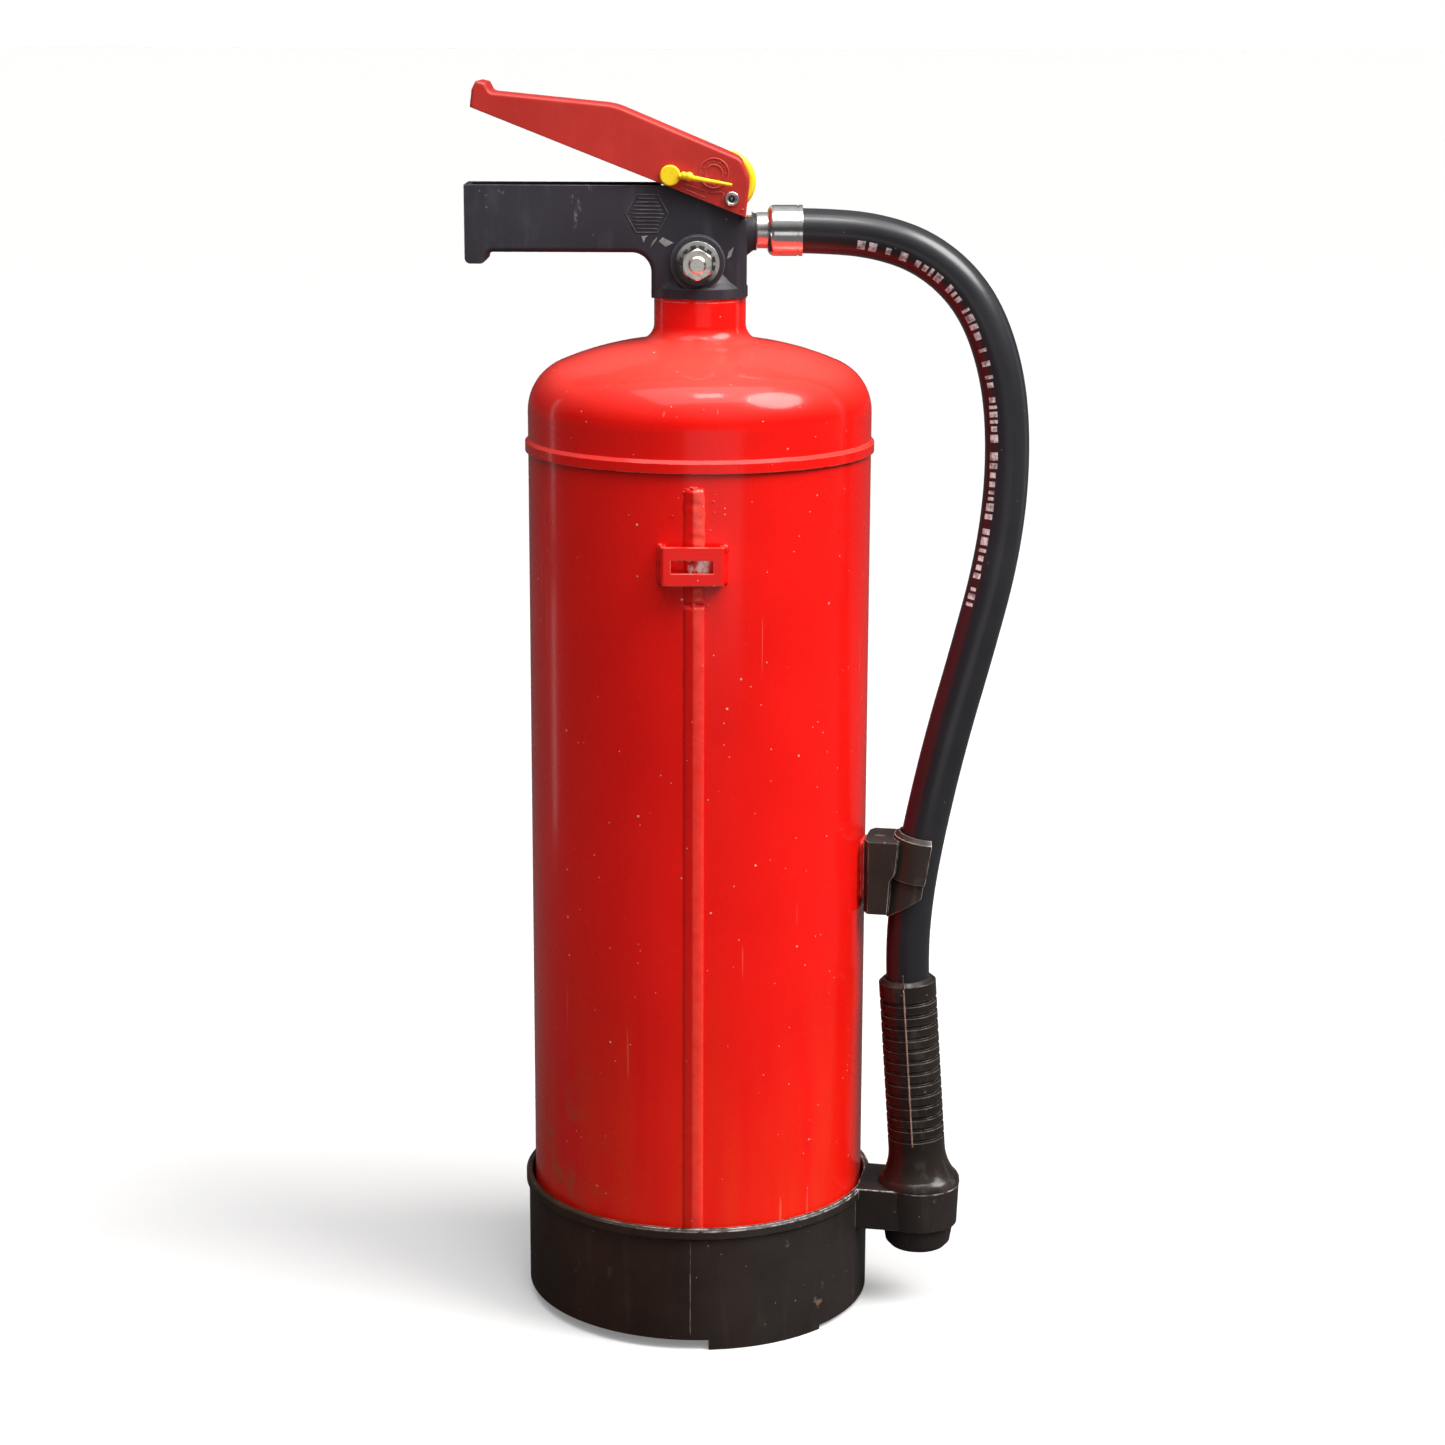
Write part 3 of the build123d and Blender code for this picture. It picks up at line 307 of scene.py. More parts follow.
def boot_rubber():
    """Base ring: browner on the shaded side, greyer and dustier on the other, with a rubbed pale rim."""
    m = Nodes("boot_rubber")
    side = m.step(m.math("ADD", m.axis("X"), m.math("MULTIPLY", m.noise(20.0, 3.0), 0.04)), -0.03, 0.055)
    cloud = m.step(m.noise(16.0, 5.0, 0.6), 0.3, 0.7)
    brown = m.mix(cloud, (0.015, 0.007, 0.004), (0.046, 0.019, 0.010))
    grey = m.mix(cloud, (0.012, 0.009, 0.008), (0.026, 0.020, 0.018))
    colour = m.mix(side, brown, grey)
    streaks = m.step(m.noise(1.0, 5.0, 0.65, m.stretched((110.0, 110.0, 14.0))), 0.56, 0.78)
    colour = m.mix(m.math("MULTIPLY", streaks, 0.05), colour, (0.30, 0.25, 0.22))
    mud = m.both(m.step(m.noise(75.0, 4.0, 0.6), 0.66, 0.72), m.step(m.noise(11.0, 2.0), 0.5, 0.6))
    colour = m.mix(m.math("MULTIPLY", mud, 0.55), colour, (0.26, 0.17, 0.10))
    specks = m.either(m.specks(170.0, 0.07, 0.10), m.specks(430.0, 0.13, 0.05))
    colour = m.mix(m.math("MULTIPLY", specks, 0.6), colour, (0.46, 0.40, 0.36))
    rim = m.step(m.axis("Z"), BASE_RIM_Z - 0.0025, BASE_RIM_Z)
    worn = m.step(m.noise(1.0, 5.0, 0.7, m.stretched((190.0, 190.0, 420.0))), 0.40, 0.62)
    rubbed = m.math("MULTIPLY", m.edge(0.0010), m.step(m.noise(90.0, 4.0, 0.6), 0.36, 0.62))
    colour = m.mix(m.math("MULTIPLY", rubbed, 0.62), colour, (0.50, 0.43, 0.39))
    pale_rim = m.both(rim, worn, m.step(side, 0.0, 0.5), m.edge(0.0012, 0.0, 0.1))
    colour = m.mix(pale_rim, colour, (0.90, 0.84, 0.80))
    m.set(Base_Color=colour, Specular_IOR_Level=0.25)
    m.set(Roughness=m.span(m.noise(34.0, 4.0), 0.36, 0.56))
    m.bump((m.noise(24.0, 3.0), 0.0005), (m.noise(650.0, 2.0), 0.00004), (mud, 0.0002), edges=0.0008)
    return m.material


def hose_rubber():
    """Smooth satin rubber with a little dust."""
    m = Nodes("hose_rubber")
    colour = m.mix(m.step(m.noise(18.0, 5.0), 0.3, 0.7), (0.012, 0.011, 0.014), (0.022, 0.021, 0.025))
    specks = m.specks(380.0, 0.12, 0.04)
    colour = m.mix(m.math("MULTIPLY", specks, 0.5), colour, (0.35, 0.35, 0.35))
    m.set(Base_Color=colour, Specular_IOR_Level=0.35, Coat_Weight=0.35, Coat_Roughness=0.20)
    m.set(Roughness=m.span(m.noise(26.0, 4.0), 0.27, 0.40))
    m.bump((m.noise(60.0, 3.0), 0.00012), (m.noise(1500.0, 2.0), 0.000015))
    return m.material


def hose_print():
    """White ink, partly rubbed off."""
    m = Nodes("hose_print")
    gone = m.step(m.noise(420.0, 4.0, 0.6), 0.42, 0.62)
    m.set(Base_Color=m.mix(gone, (0.80, 0.81, 0.82), (0.24, 0.24, 0.25)), Roughness=0.55)
    m.bump((m.noise(900.0, 2.0), 0.00002))
    return m.material


def metal(name, light, dark, roughness, brushed=None, grime=0.5):
    """Bare or plated metal with dull patches and spots of dirt; brushed stretches its fine lines."""
    m = Nodes(name)
    patches = m.step(m.noise(60.0, 5.0, 0.6), 0.35, 0.7)
    colour = m.mix(patches, light, dark)
    dirt = m.both(m.step(m.noise(240.0, 4.0, 0.65), 0.56, 0.7), grime)
    colour = m.mix(dirt, colour, (0.10, 0.085, 0.075))
    m.set(Base_Color=colour, Metallic=1.0)
    m.set(Roughness=m.math("ADD", m.span(m.noise(90.0, 4.0), roughness * 0.75, roughness * 1.35),
                           m.math("MULTIPLY", dirt, 0.3), clamp=True))
    lines = m.noise(1.0, 3.0, 0.6, m.stretched(brushed)) if brushed else m.noise(700.0, 3.0)
    m.bump((lines, 0.00002), (m.noise(120.0, 3.0), 0.00005), edges=0.0003)
    return m.material


def half_shaded_washer():
    """A flat washer, bright metal on its upper side, with a painted shadow in black on its lower side."""
    m = Nodes("half_shaded_washer")
    low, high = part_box("flat_washer")
    lean = 0.6                          # how far the border between the bright part and the painted shadow leans over
    across = m.math("ADD", m.axis("Z"), m.math("MULTIPLY", m.axis("X"), lean))
    middle = (low.z + high.z) / 2 + lean * (low.x + high.x) / 2
    ragged = m.math("ADD", across, m.math("MULTIPLY", m.noise(300.0, 3.0), 0.004))
    # painted shadow below the ragged border, bright metal above it
    lit_part = m.step(ragged, middle - 0.003, middle + 0.005)
    m.set(Base_Color=m.mix(lit_part, (0.07, 0.07, 0.075), (0.72, 0.71, 0.70)), Metallic=1.0)
    m.set(Roughness=m.span(m.noise(400.0, 3.0), 0.28, 0.44))
    m.bump((m.noise(500.0, 3.0), 0.00003), edges=0.0003)
    return m.material


def yellow_plastic():
    m = Nodes("yellow_plastic")
    colour = m.mix(m.step(m.noise(120.0, 4.0), 0.35, 0.7), (0.93, 0.62, 0.004), (0.95, 0.72, 0.02))
    dirt = m.both(m.step(m.noise(300.0, 4.0, 0.65), 0.60, 0.72), 0.35)
    colour = m.mix(dirt, colour, (0.45, 0.26, 0.03))
    m.set(Base_Color=colour, Roughness=m.span(m.noise(200.0, 3.0), 0.26, 0.4), Specular_IOR_Level=0.5)
    m.set(Subsurface_Weight=0.12, Subsurface_Scale=0.002)
    m.bump((m.noise(420.0, 3.0), 0.00004), edges=0.0004)
    return m.material


def plain(name, dark, light, roughness, scale=60.0, bump=0.00004):
    """Small and hidden pieces: two tones, varied gloss and a fine bump."""
    m = Nodes(name)
    m.set(Base_Color=m.mix(m.step(m.noise(scale, 5.0), 0.3, 0.7), dark, light), Specular_IOR_Level=0.45)
    m.set(Roughness=m.span(m.noise(scale * 2, 3.0), roughness - 0.08, roughness + 0.08))
    m.bump((m.noise(scale * 12, 2.0), bump), edges=0.0003)
    return m.material


def clear_lens():
    m = Nodes("clear_lens")
    m.set(Base_Color=(0.97, 0.99, 0.99), Transmission_Weight=1.0, IOR=1.46)
    m.set(Roughness=m.span(m.noise(50.0, 4.0), 0.01, 0.06))
    m.bump((m.noise(35.0, 2.0), 0.00003))
    return m.material


def floor_paint():
    """A pale floor with weak shadows, which throws little light back on the object."""
    m = Nodes("floor")
    seen = m.add("ShaderNodeLightPath").outputs["Is Camera Ray"]
    m.set(Base_Color=m.mix(seen, (0.07, 0.07, 0.07), (0.55, 0.55, 0.55)))
    m.set(Roughness=0.9, Specular_IOR_Level=0.1)
    m.set(Emission_Color=(1.0, 1.0, 1.0), Emission_Strength=m.math("MULTIPLY", seen, 0.20))
    return m.material


# how noise is stretched for a metal's fine lines: turned round Z or X, or drawn along Y
RINGS_Z, RINGS_X, FINE_X = (40.0, 40.0, 3000.0), (3000.0, 60.0, 60.0), (3000.0, 30.0, 30.0)
LINES_Y = (700.0, 60.0, 700.0)
MATERIALS = {
    "red_paint": red_paint(),
    "powder": plain("powder", (0.72, 0.72, 0.62), (0.84, 0.84, 0.76), 0.8, 200.0, 0.0003),
    "brass": metal("brass", (0.80, 0.60, 0.28), (0.62, 0.44, 0.18), 0.28, RINGS_Z),
    "seal_rubber": plain("seal_rubber", (0.015, 0.015, 0.015), (0.03, 0.03, 0.03), 0.5),
    "steel": metal("steel", (0.84, 0.83, 0.81), (0.68, 0.67, 0.65), 0.26, RINGS_X),
    "zinc_steel": metal("zinc_steel", (0.95, 0.92, 0.85), (0.84, 0.80, 0.72), 0.24, LINES_Y),
    "dip_plastic": plain("dip_plastic", (0.70, 0.70, 0.66), (0.80, 0.80, 0.78), 0.4),
    "black_plastic": black_plastic(),
    "red_plastic": red_plastic(),
    "yellow_plastic": yellow_plastic(),
    "gauge_metal": metal("gauge_metal", (0.78, 0.77, 0.75), (0.62, 0.60, 0.57), 0.16),
    "dial_face": plain("dial_face", (0.82, 0.82, 0.78), (0.90, 0.90, 0.87), 0.45, 90.0, 0.00001),
    "needle_black": plain("needle_black", (0.01, 0.01, 0.01), (0.02, 0.02, 0.02), 0.4),
    "clear_lens": clear_lens(),
    "ferrule_chrome": metal("ferrule_chrome", (0.93, 0.92, 0.91), (0.84, 0.83, 0.82), 0.15, FINE_X, 0.2),
    "hose_rubber": hose_rubber(),
    "grip_rubber": grip_rubber(),
    "tip_plastic": tip_plastic(),
    "boot_rubber": boot_rubber(),
    "clip_plastic": clip_plastic(),
}
NODE_MATERIALS = {                      # nodes that look unlike the rest of their material
    "flat_washer": half_shaded_washer(),
    # the toothed washer is painted dark as the shade in the gap between the nut and the flat washer
    "lock_washer": metal("gap_shade_washer", (0.16, 0.16, 0.17), (0.07, 0.07, 0.07), 0.30, None, 0.6),
}
PRINT = hose_print()
# dark metal painted as the shade inside the pivot pin's recess
RECESS_SHADE = metal("recess_shade_paint", (0.10, 0.10, 0.10), (0.04, 0.04, 0.04), 0.4)
DIAL_GREEN = plain("dial_green", (0.02, 0.28, 0.06), (0.03, 0.34, 0.08), 0.45)
DIAL_RED = plain("dial_red", (0.55, 0.02, 0.015), (0.62, 0.03, 0.02), 0.45)
DIAL_BLACK = plain("dial_black", (0.012, 0.012, 0.012), (0.02, 0.02, 0.02), 0.5)
MOULD_LINE = plain("mould_line", (0.20, 0.12, 0.08), (0.38, 0.26, 0.20), 0.5, 300.0)


def paint_cad_nodes():
    for row in frame["record"]["subparts"]:
        mesh = nodes[row["node"]].data
        mesh.materials.clear()
        mesh.materials.append(NODE_MATERIALS.get(row["node"], MATERIALS[row["material_slot"]]))


# ---------------------------------------------------------------- mesh helpers
OUTWARD = Vector((0, -1, 0))
X_AXIS, Z_AXIS = Vector((1, 0, 0)), Vector((0, 0, 1))


def add_mesh(name, points, faces, material, body=None, smooth=True):
    """A piece in the row frame that rides on a body and takes a material."""
    mesh = bpy.data.meshes.new(name)
    mesh.from_pydata(points, [], faces)
    mesh.materials.append(material)
    mesh.update()
    for polygon in mesh.polygons:
        polygon.use_smooth = smooth
    piece = bpy.data.objects.new(name, mesh)
    scene.collection.objects.link(piece)
    if body:
        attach(piece, body)
    return piece


def loft(rings):
    """Points and faces of a closed skin over rings of equal length, with capped ends."""
    count = len(rings[0])
    points = [p for ring in rings for p in ring]
    faces = []
    for i in range(len(rings) - 1):
        for j in range(count):
            k = (j + 1) % count
            faces.append((i * count + j, i * count + k, (i + 1) * count + k, (i + 1) * count + j))
    faces.append(tuple(reversed(range(count))))
    faces.append(tuple(range((len(rings) - 1) * count, len(rings) * count)))
    return points, faces


def oval_ring(centre, across, out, half_width, half_height, count=12):
    """A ring of points round a centre in the plane of two directions."""
    ring = []
    for j in range(count):
        a = 2 * pi * j / count
        ring.append(centre + across * (half_width * cos(a)) + out * (half_height * sin(a)))
    return ring


def ridge(name, route, out, half_width, half_height, material, body, lump=0.0, seed=0.0):
    """A low rounded ridge along a route; out is the direction that it stands in, and lump makes it uneven."""
    rings = []
    for i, point in enumerate(route):
        ahead = route[min(i + 1, len(route) - 1)] - route[max(i - 1, 0)]
        across = ahead.cross(out).normalized()
        uneven = 1 + lump * noise.noise(Vector((seed, 0, i * 0.45)))
        drift = across * (lump * half_width * 0.5 * noise.noise(Vector((seed + 7, 0, i * 0.3))))
        end = 0.55 if i in (0, len(route) - 1) else 1.0
        grow = uneven * end
        rings.append(oval_ring(point + drift, across, out, half_width * grow, half_height * grow))
    points, faces = loft(rings)
    return add_mesh(name, points, faces, material, body)


def run(start, end, steps):
    """Evenly spaced points of a straight line."""
    start, end = Vector(start), Vector(end)
    return [start.lerp(end, i / steps) for i in range(steps + 1)]


def loop_ridge(name, centre, radius, half_width, half_height, material, body, sides=72, corners=0):
    """A closed ridge facing -Y: a circle, or a polygon of straight sides when corners is given."""
    out = X_AXIS.cross(Z_AXIS)
    section = 8
    rings = []
    for i in range(sides):
        a = 2 * pi * i / sides
        reach = radius
        if corners:
            sector = 2 * pi / corners
            reach = radius * cos(sector / 2) / cos(a % sector - sector / 2)
        ray = X_AXIS * cos(a) + Z_AXIS * sin(a)
        rings.append(oval_ring(centre + ray * reach, ray, out, half_width, half_height, section))
    points = [p for ring in rings for p in ring]
    faces = []
    for i in range(sides):
        n = (i + 1) % sides
        for j in range(section):
            k = (j + 1) % section
            faces.append((i * section + j, i * section + k, n * section + k, n * section + j))
    return add_mesh(name, points, faces, material, body)


# ---------------------------------------------------------------- hose
HOSE_ROUTE_MM = [
    (32.5, 0.0, 517.0), (56.0, 0.0, 517.0), (81.5, -0.3, 514.8), (104.3, -0.8, 506.9),
    (123.1, -1.5, 491.0), (135.0, -2.6, 469.6), (142.4, -4.6, 440.0), (143.4, -7.6, 402.0),
    (138.6, -11.2, 364.0), (127.9, -15.0, 322.5), (116.4, -18.2, 281.0), (107.2, -20.8, 240.0),
    (101.4, -19.7, 204.0), (99.67, -19.4, 172.0), (101.44, -19.74, 147.0),
]
HOSE_R = 0.0103
HOSE_SIDES = 32


def hose_line():
    """Points of the hose's smooth middle line."""
    curve = bpy.data.curves.new("hose_route", "CURVE")
    curve.dimensions = "3D"
    curve.resolution_u = 12
    spline = curve.splines.new("NURBS")
    spline.points.add(len(HOSE_ROUTE_MM) - 1)
    for point, place in zip(spline.points, HOSE_ROUTE_MM):
        point.co = (*[c * MM for c in place], 1.0)
    spline.order_u = 3
    spline.use_endpoint_u = True
    holder = bpy.data.objects.new("hose_route", curve)
    scene.collection.objects.link(holder)
    mesh = bpy.data.meshes.new_from_object(holder)
    line = [v.co.copy() for v in mesh.vertices]
    bpy.data.objects.remove(holder)
    bpy.data.meshes.remove(mesh)
    return line


def carried_frames(line):
    """For each point of a line its direction, and two directions across it that don't twist."""
    frames, side = [], Vector((0, -1, 0))
    for i in range(len(line)):
        ahead = (line[min(i + 1, len(line) - 1)] - line[max(i - 1, 0)]).normalized()
        side = (side - ahead * side.dot(ahead)).normalized()
        frames.append((ahead, side, ahead.cross(side)))
    return frames


def bend_with_nozzle(piece):
    """Bakes the piece's placement into its points."""
    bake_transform(piece)


def make_hose(line, frames):
    rings = []
    for point, (_, side, other) in zip(line, frames):
        rings.append(oval_ring(point, side, other, HOSE_R, HOSE_R, HOSE_SIDES))
    points, faces = loft(rings)
    piece = add_mesh("hose_tube", points, faces, MATERIALS["hose_rubber"])
    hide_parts("hose")
    bend_with_nozzle(piece)


DASH_LENGTHS = (0.0016, 0.0026, 0.0026, 0.0038)
DASH_GAPS = (0.0014, 0.0018, 0.0046)
DASH_HALF_ANGLES = (9.0, 12.0, 12.0)    # degrees round the hose


def make_hose_print(line, frames):
    """A plain row of printed dashes along the hose's near side, in place of its text."""
    start, end = 0.040, 0.250           # along the hose from its ferrule
    bearing_start, bearing_end = radians(24), radians(46)
    lift, depth = 0.00012, 0.0005
    picker = random.Random(11)
    points, faces = [], []
    travelled = 0.0
    stations = []
    for a, b, f in zip(line, line[1:], frames):
        stations.append((travelled, a, b, f))
        travelled += (b - a).length

    def on_hose(along, bearing, radius):
        for travelled_here, a, b, (_, side, other) in reversed(stations):
            if along >= travelled_here:
                middle = a.lerp(b, (along - travelled_here) / (b - a).length)
                return middle + (side * cos(bearing) + other * sin(bearing)) * radius
        return line[0]

    along = start
    while along < end:
        size = picker.choice(DASH_LENGTHS)
        share = (along - start) / (end - start)
        middle = bearing_start + (bearing_end - bearing_start) * share
        half = radians(picker.choice(DASH_HALF_ANGLES))
        base = len(points)
        for radius in (HOSE_R - depth, HOSE_R + lift):
            for s in (0.0, 1.0):
                for t in (-1.0, -0.33, 0.33, 1.0):
                    points.append(on_hose(along + s * size, middle + t * half, radius))
        faces += box_strip(base, 4)
        along += size + picker.choice(DASH_GAPS)
    piece = add_mesh("hose_marks", points, faces, PRINT, smooth=False)
    bend_with_nozzle(piece)


def box_strip(base, columns):
    """Faces of a thin plate whose points are two layers of two rows each."""
    faces = []
    low, high = base, base + 2 * columns
    for j in range(columns - 1):
        faces.append((high + j, high + j + 1, high + columns + j + 1, high + columns + j))
        faces.append((low + j, low + columns + j, low + columns + j + 1, low + j + 1))
        faces.append((low + j, low + j + 1, high + j + 1, high + j))
        faces.append((low + columns + j, high + columns + j, high + columns + j + 1, low + columns + j + 1))
    last = columns - 1
    faces.append((low, high, high + columns, low + columns))
    faces.append((low + last, low + columns + last, high + columns + last, high + last))
    return faces


# ---------------------------------------------------------------- details on the vessel
def on_shell(x, z, proud=0.0):
    """The point of the cylinder's -Y side at an x and a height."""
    radius = SHELL_R + proud
    return Vector((x, -(radius ** 2 - x ** 2) ** 0.5, z))


SEAM_PROFILE = (                    # across and out from the seam's line: a slope, a lapped strip and its end
    (-0.0046, -0.0006), (-0.0046, 0.00005), (-0.0030, 0.0005), (-0.0006, 0.0017), (0.0004, 0.0019),
    (0.0026, 0.0017), (0.0042, 0.0015), (0.0048, 0.0010), (0.0050, -0.0006),
)


def make_seam(name, low, high, lump, step, taper, foot):
    """
    The lapped seam of the rolled sheet, welded and painted over, between two heights.  Its profile grows
    from the share foot at each end to full size over the length taper; lump makes it uneven.
    """
    count = round((high - low) / step)
    rings = []
    for i in range(count + 1):
        z = low + (high - low) * i / count
        end = min(1.0, foot + min(z - low, high - z) / taper)
        ring = []
        for x, out in SEAM_PROFILE:
            uneven = 1 + lump * noise.noise(Vector((x * 700, 3.0, z * 260)))
            drift = lump * 0.0012 * noise.noise(Vector((8.0, x * 150, z * 190)))
            ring.append(on_shell(SEAM_X + x + drift, z, out * end * uneven if out > 0 else out))
        rings.append(ring)
    points, faces = loft(rings)
    add_mesh(name, points, faces, MATERIALS["red_paint"], "extinguisher")


def make_welds():
    paint = MATERIALS["red_paint"]
    half_gap = 0.0005
    make_seam("seam_lower", SEAM_FOOT_Z, SEAM_GAP_Z - half_gap, 0.06, 0.002, 0.022, 0.58)
    make_seam("seam_upper", SEAM_GAP_Z + half_gap, SEAM_TOP_Z, 0.45, 0.0006, 0.002, 0.15)
    past, steps = 0.0006, 16            # how far a leg's weld runs past the leg at each end
    start, height = BRACKET_LOW.z - past, BRACKET_HIGH.z - BRACKET_LOW.z + 2 * past
    sides = (("bracket_weld_left", BRACKET_LOW.x, -1), ("bracket_weld_right", BRACKET_HIGH.x, 1))
    for name, x, side in sides:
        leg = [on_shell(x + side * 0.0004, start + height * i / steps) for i in range(steps + 1)]
        ridge(name, leg, OUTWARD, 0.0014, 0.0012, paint, "extinguisher", lump=0.5, seed=x * 900)


def make_spatter():
    """Small beads of weld metal beside the seam, under the paint."""
    picker = random.Random(5)
    points, faces = [], []
    for _ in range(12):
        x = SEAM_X + picker.uniform(-0.010, 0.010)
        z = picker.uniform(0.3858, 0.4100)
        radius = picker.uniform(0.0002, 0.0005)
        centre = on_shell(x, z)
        rings = []
        for h, r in ((-0.6, 0.7), (0.0, 1.0), (0.5, 0.85), (0.85, 0.45)):
            middle = centre + OUTWARD * (h * radius)
            rings.append(oval_ring(middle, X_AXIS, Z_AXIS, r * radius, r * radius, 8))
        new_points, new_faces = loft(rings)
        base = len(points)
        points += new_points
        faces += [tuple(base + i for i in f) for f in new_faces]
    add_mesh("weld_spatter", points, faces, MATERIALS["red_paint"], "extinguisher")


# ---------------------------------------------------------------- details on the head
LEVER_FACE_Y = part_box("operating_lever")[0].y
HANDLE_FACE_Y = -0.014


def make_lever_marks():
    """A plain raised ring and edge lines of the moulding on the lever's near side."""
    red = MATERIALS["red_plastic"]
    centre = Vector((0.0063, LEVER_FACE_Y, 0.5436))
    loop_ridge("lever_ring_outer", centre, 0.0066, 0.00042, 0.00042, red, "lever")
    loop_ridge("lever_ring_inner", centre, 0.0038, 0.00034, 0.00036, red, "lever", sides=48)
    for i in range(12):
        a = 2 * pi * i / 12
        ray = X_AXIS * cos(a) + Z_AXIS * sin(a)
        ridge(f"lever_tick_{i}", run(centre + ray * 0.0047, centre + ray * 0.0059, 3), OUTWARD,
              0.00026, 0.00028, red, "lever")
    edge_lines = {
        "lever_step_long": [(-0.0095, 0.5375), (0.0035, 0.5322)],
        "lever_step_upper": [(-0.0080, 0.5392), (0.0040, 0.5350)],
        "lever_step_heel": [(0.0040, 0.5350), (0.0105, 0.5352)],
        "lever_step_drop": [(0.0108, 0.5350), (0.0098, 0.5300)],
    }
    for name, ((x1, z1), (x2, z2)) in edge_lines.items():
        ridge(name, run((x1, LEVER_FACE_Y, z1), (x2, LEVER_FACE_Y, z2), 8), OUTWARD, 0.00032, 0.00028,
              red, "lever")
    bump = Vector((0.0186, LEVER_FACE_Y, 0.5272))
    ridge("lever_pip", run(bump, bump + Vector((0.0014, 0, 0.0002)), 4), OUTWARD, 0.0006, 0.0004,
          red, "lever")


def make_pivot_head():
    """The pivot pin's end: a bright rolled rim round a dark ring, which is painted shade for the recess in
    the pin.
    """
    middle = Vector((0.0145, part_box("lever_pivot_pin")[0].y, 0.5323))
    steel = MATERIALS["steel"]
    loop_ridge("pivot_rim", middle, 0.0026, 0.0007, 0.0005, steel, "extinguisher", sides=48)
    # a dark ring painted as the shade in the pin's recess
    loop_ridge("pivot_shade_ring", middle, 0.0011, 0.0006, 0.0002, RECESS_SHADE, "extinguisher", sides=32)


def make_handle_marks():
    """A plain raised outline with ribs inside on the handle's near side."""
    black = MATERIALS["black_plastic"]
    centre = Vector((-0.0241, HANDLE_FACE_Y, 0.5252))
    height = 0.00026                    # below the gap of 0.4 mm to the lever's cheek
    loop_ridge("handle_frame", centre, 0.0098, 0.00040, height, black, "extinguisher",
               corners=6)
    ribs, pitch, longest, shorter = 9, 0.0017, 0.0078, 0.0007
    for i in range(ribs):
        drop = (i - ribs // 2) * pitch
        half = longest - abs(i - ribs // 2) * shorter
        ridge(f"handle_rib_{i}", run(centre + Vector((-half, 0, drop)), centre + Vector((half, 0, drop)), 6),
              OUTWARD, 0.00036, height, black, "extinguisher")


NICK_PAINT = plain("nick", (0.16, 0.155, 0.16), (0.34, 0.33, 0.34), 0.35, 400.0)
NICKS_MM = (                        # outlines (x, z) of pale scuffs on the handle's near face
    ((-18.7, 512.9), (-17.0, 514.6), (-11.9, 512.1), (-15.7, 510.3)),
    ((-22.6, 509.9), (-21.3, 512.9), (-19.2, 515.0), (-19.9, 513.4)),
    ((-26.7, 515.1), (-23.5, 515.4), (-24.8, 514.5), (-25.6, 512.0)),
    ((13.0, 508.0), (15.5, 510.5), (14.2, 506.0), (12.4, 505.0)),
)


def make_nicks():
    """Scuffs where the plastic is scraped pale."""
    low, high = HANDLE_FACE_Y + 0.0004, HANDLE_FACE_Y - 0.00008
    for i, outline in enumerate(NICKS_MM):
        rings = [[Vector((x * MM, y, z * MM)) for x, z in outline] for y in (low, high)]
        points, faces = loft(rings)
        add_mesh(f"handle_nick_{i}", points, faces, NICK_PAINT, "extinguisher", smooth=False)


# ---------------------------------------------------------------- details on the base ring and the grip
BASE_R = 0.0831


def make_base_line():
    """The mould's parting line down the front of the base ring."""
    x, foot_z, top_z = -0.0030, 0.0062, 0.0552
    y = -(BASE_R ** 2 - x ** 2) ** 0.5
    route = run((x, y, foot_z), (x, y, top_z), 24)
    ridge("base_parting_line", route, OUTWARD, 0.00026, 0.00007, MATERIALS["boot_rubber"],
          "extinguisher", lump=0.6, seed=2.0)


GRIP_LEAN = radians(4.12)               # of the nozzle, towards the vessel
SIDE_ANGLE = radians(-11.0)             # of the holder, round Z from +X
HOLDER_RHO = 0.1095                     # from the vessel's axis to the grip's foot
GRIP_FOOT_Z = 0.0612
GRIP_R = 0.0137


def along_grip(x, y, z):
    """A point built about Z, foot at 0, placed on the nozzle's leaning line."""
    turn = Matrix.Rotation(SIDE_ANGLE, 4, "Z") @ Matrix.Translation((HOLDER_RHO, 0, GRIP_FOOT_Z))
    return turn @ Matrix.Rotation(-GRIP_LEAN, 4, "Y") @ Vector((x, y, z))


def make_grip_line():
    """Pale rubbed flash on the grip's parting line."""
    out = (along_grip(0, -1, 0) - along_grip(0, 0, 0)).normalized()
    start, end, proud, steps = 0.0220, 0.1010, 0.00030, 60
    route = [along_grip(0, -GRIP_R - proud, start + (end - start) * i / steps) for i in range(steps + 1)]
    ridge("grip_parting_line", route, out, 0.00032, proud, MOULD_LINE, "nozzle",
          lump=0.5, seed=4.0)


# ---------------------------------------------------------------- gauge dial
GAUGE_Z = 0.504
DIAL_FRONT_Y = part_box("gauge_dial")[1].y


def dial_point(radius, angle, y):
    """Angle in degrees from upright, towards -X, which is clockwise for someone reading the dial."""
    a = radians(angle)
    return Vector((-radius * sin(a), y, GAUGE_Z + radius * cos(a)))


def dial_band(name, inner, outer, start, end, material):
    """A thin printed band of the dial between two angles."""
    buried, proud = 0.0002, 0.00008
    count = max(2, round(abs(end - start) / 4))
    points = []
    for y in (DIAL_FRONT_Y - buried, DIAL_FRONT_Y + proud):
        for radius in (inner, outer):
            for i in range(count + 1):
                points.append(dial_point(radius, start + (end - start) * i / count, y))
    faces = box_strip(0, count + 1)
    add_mesh(name, points, faces, material, "extinguisher", smooth=False)


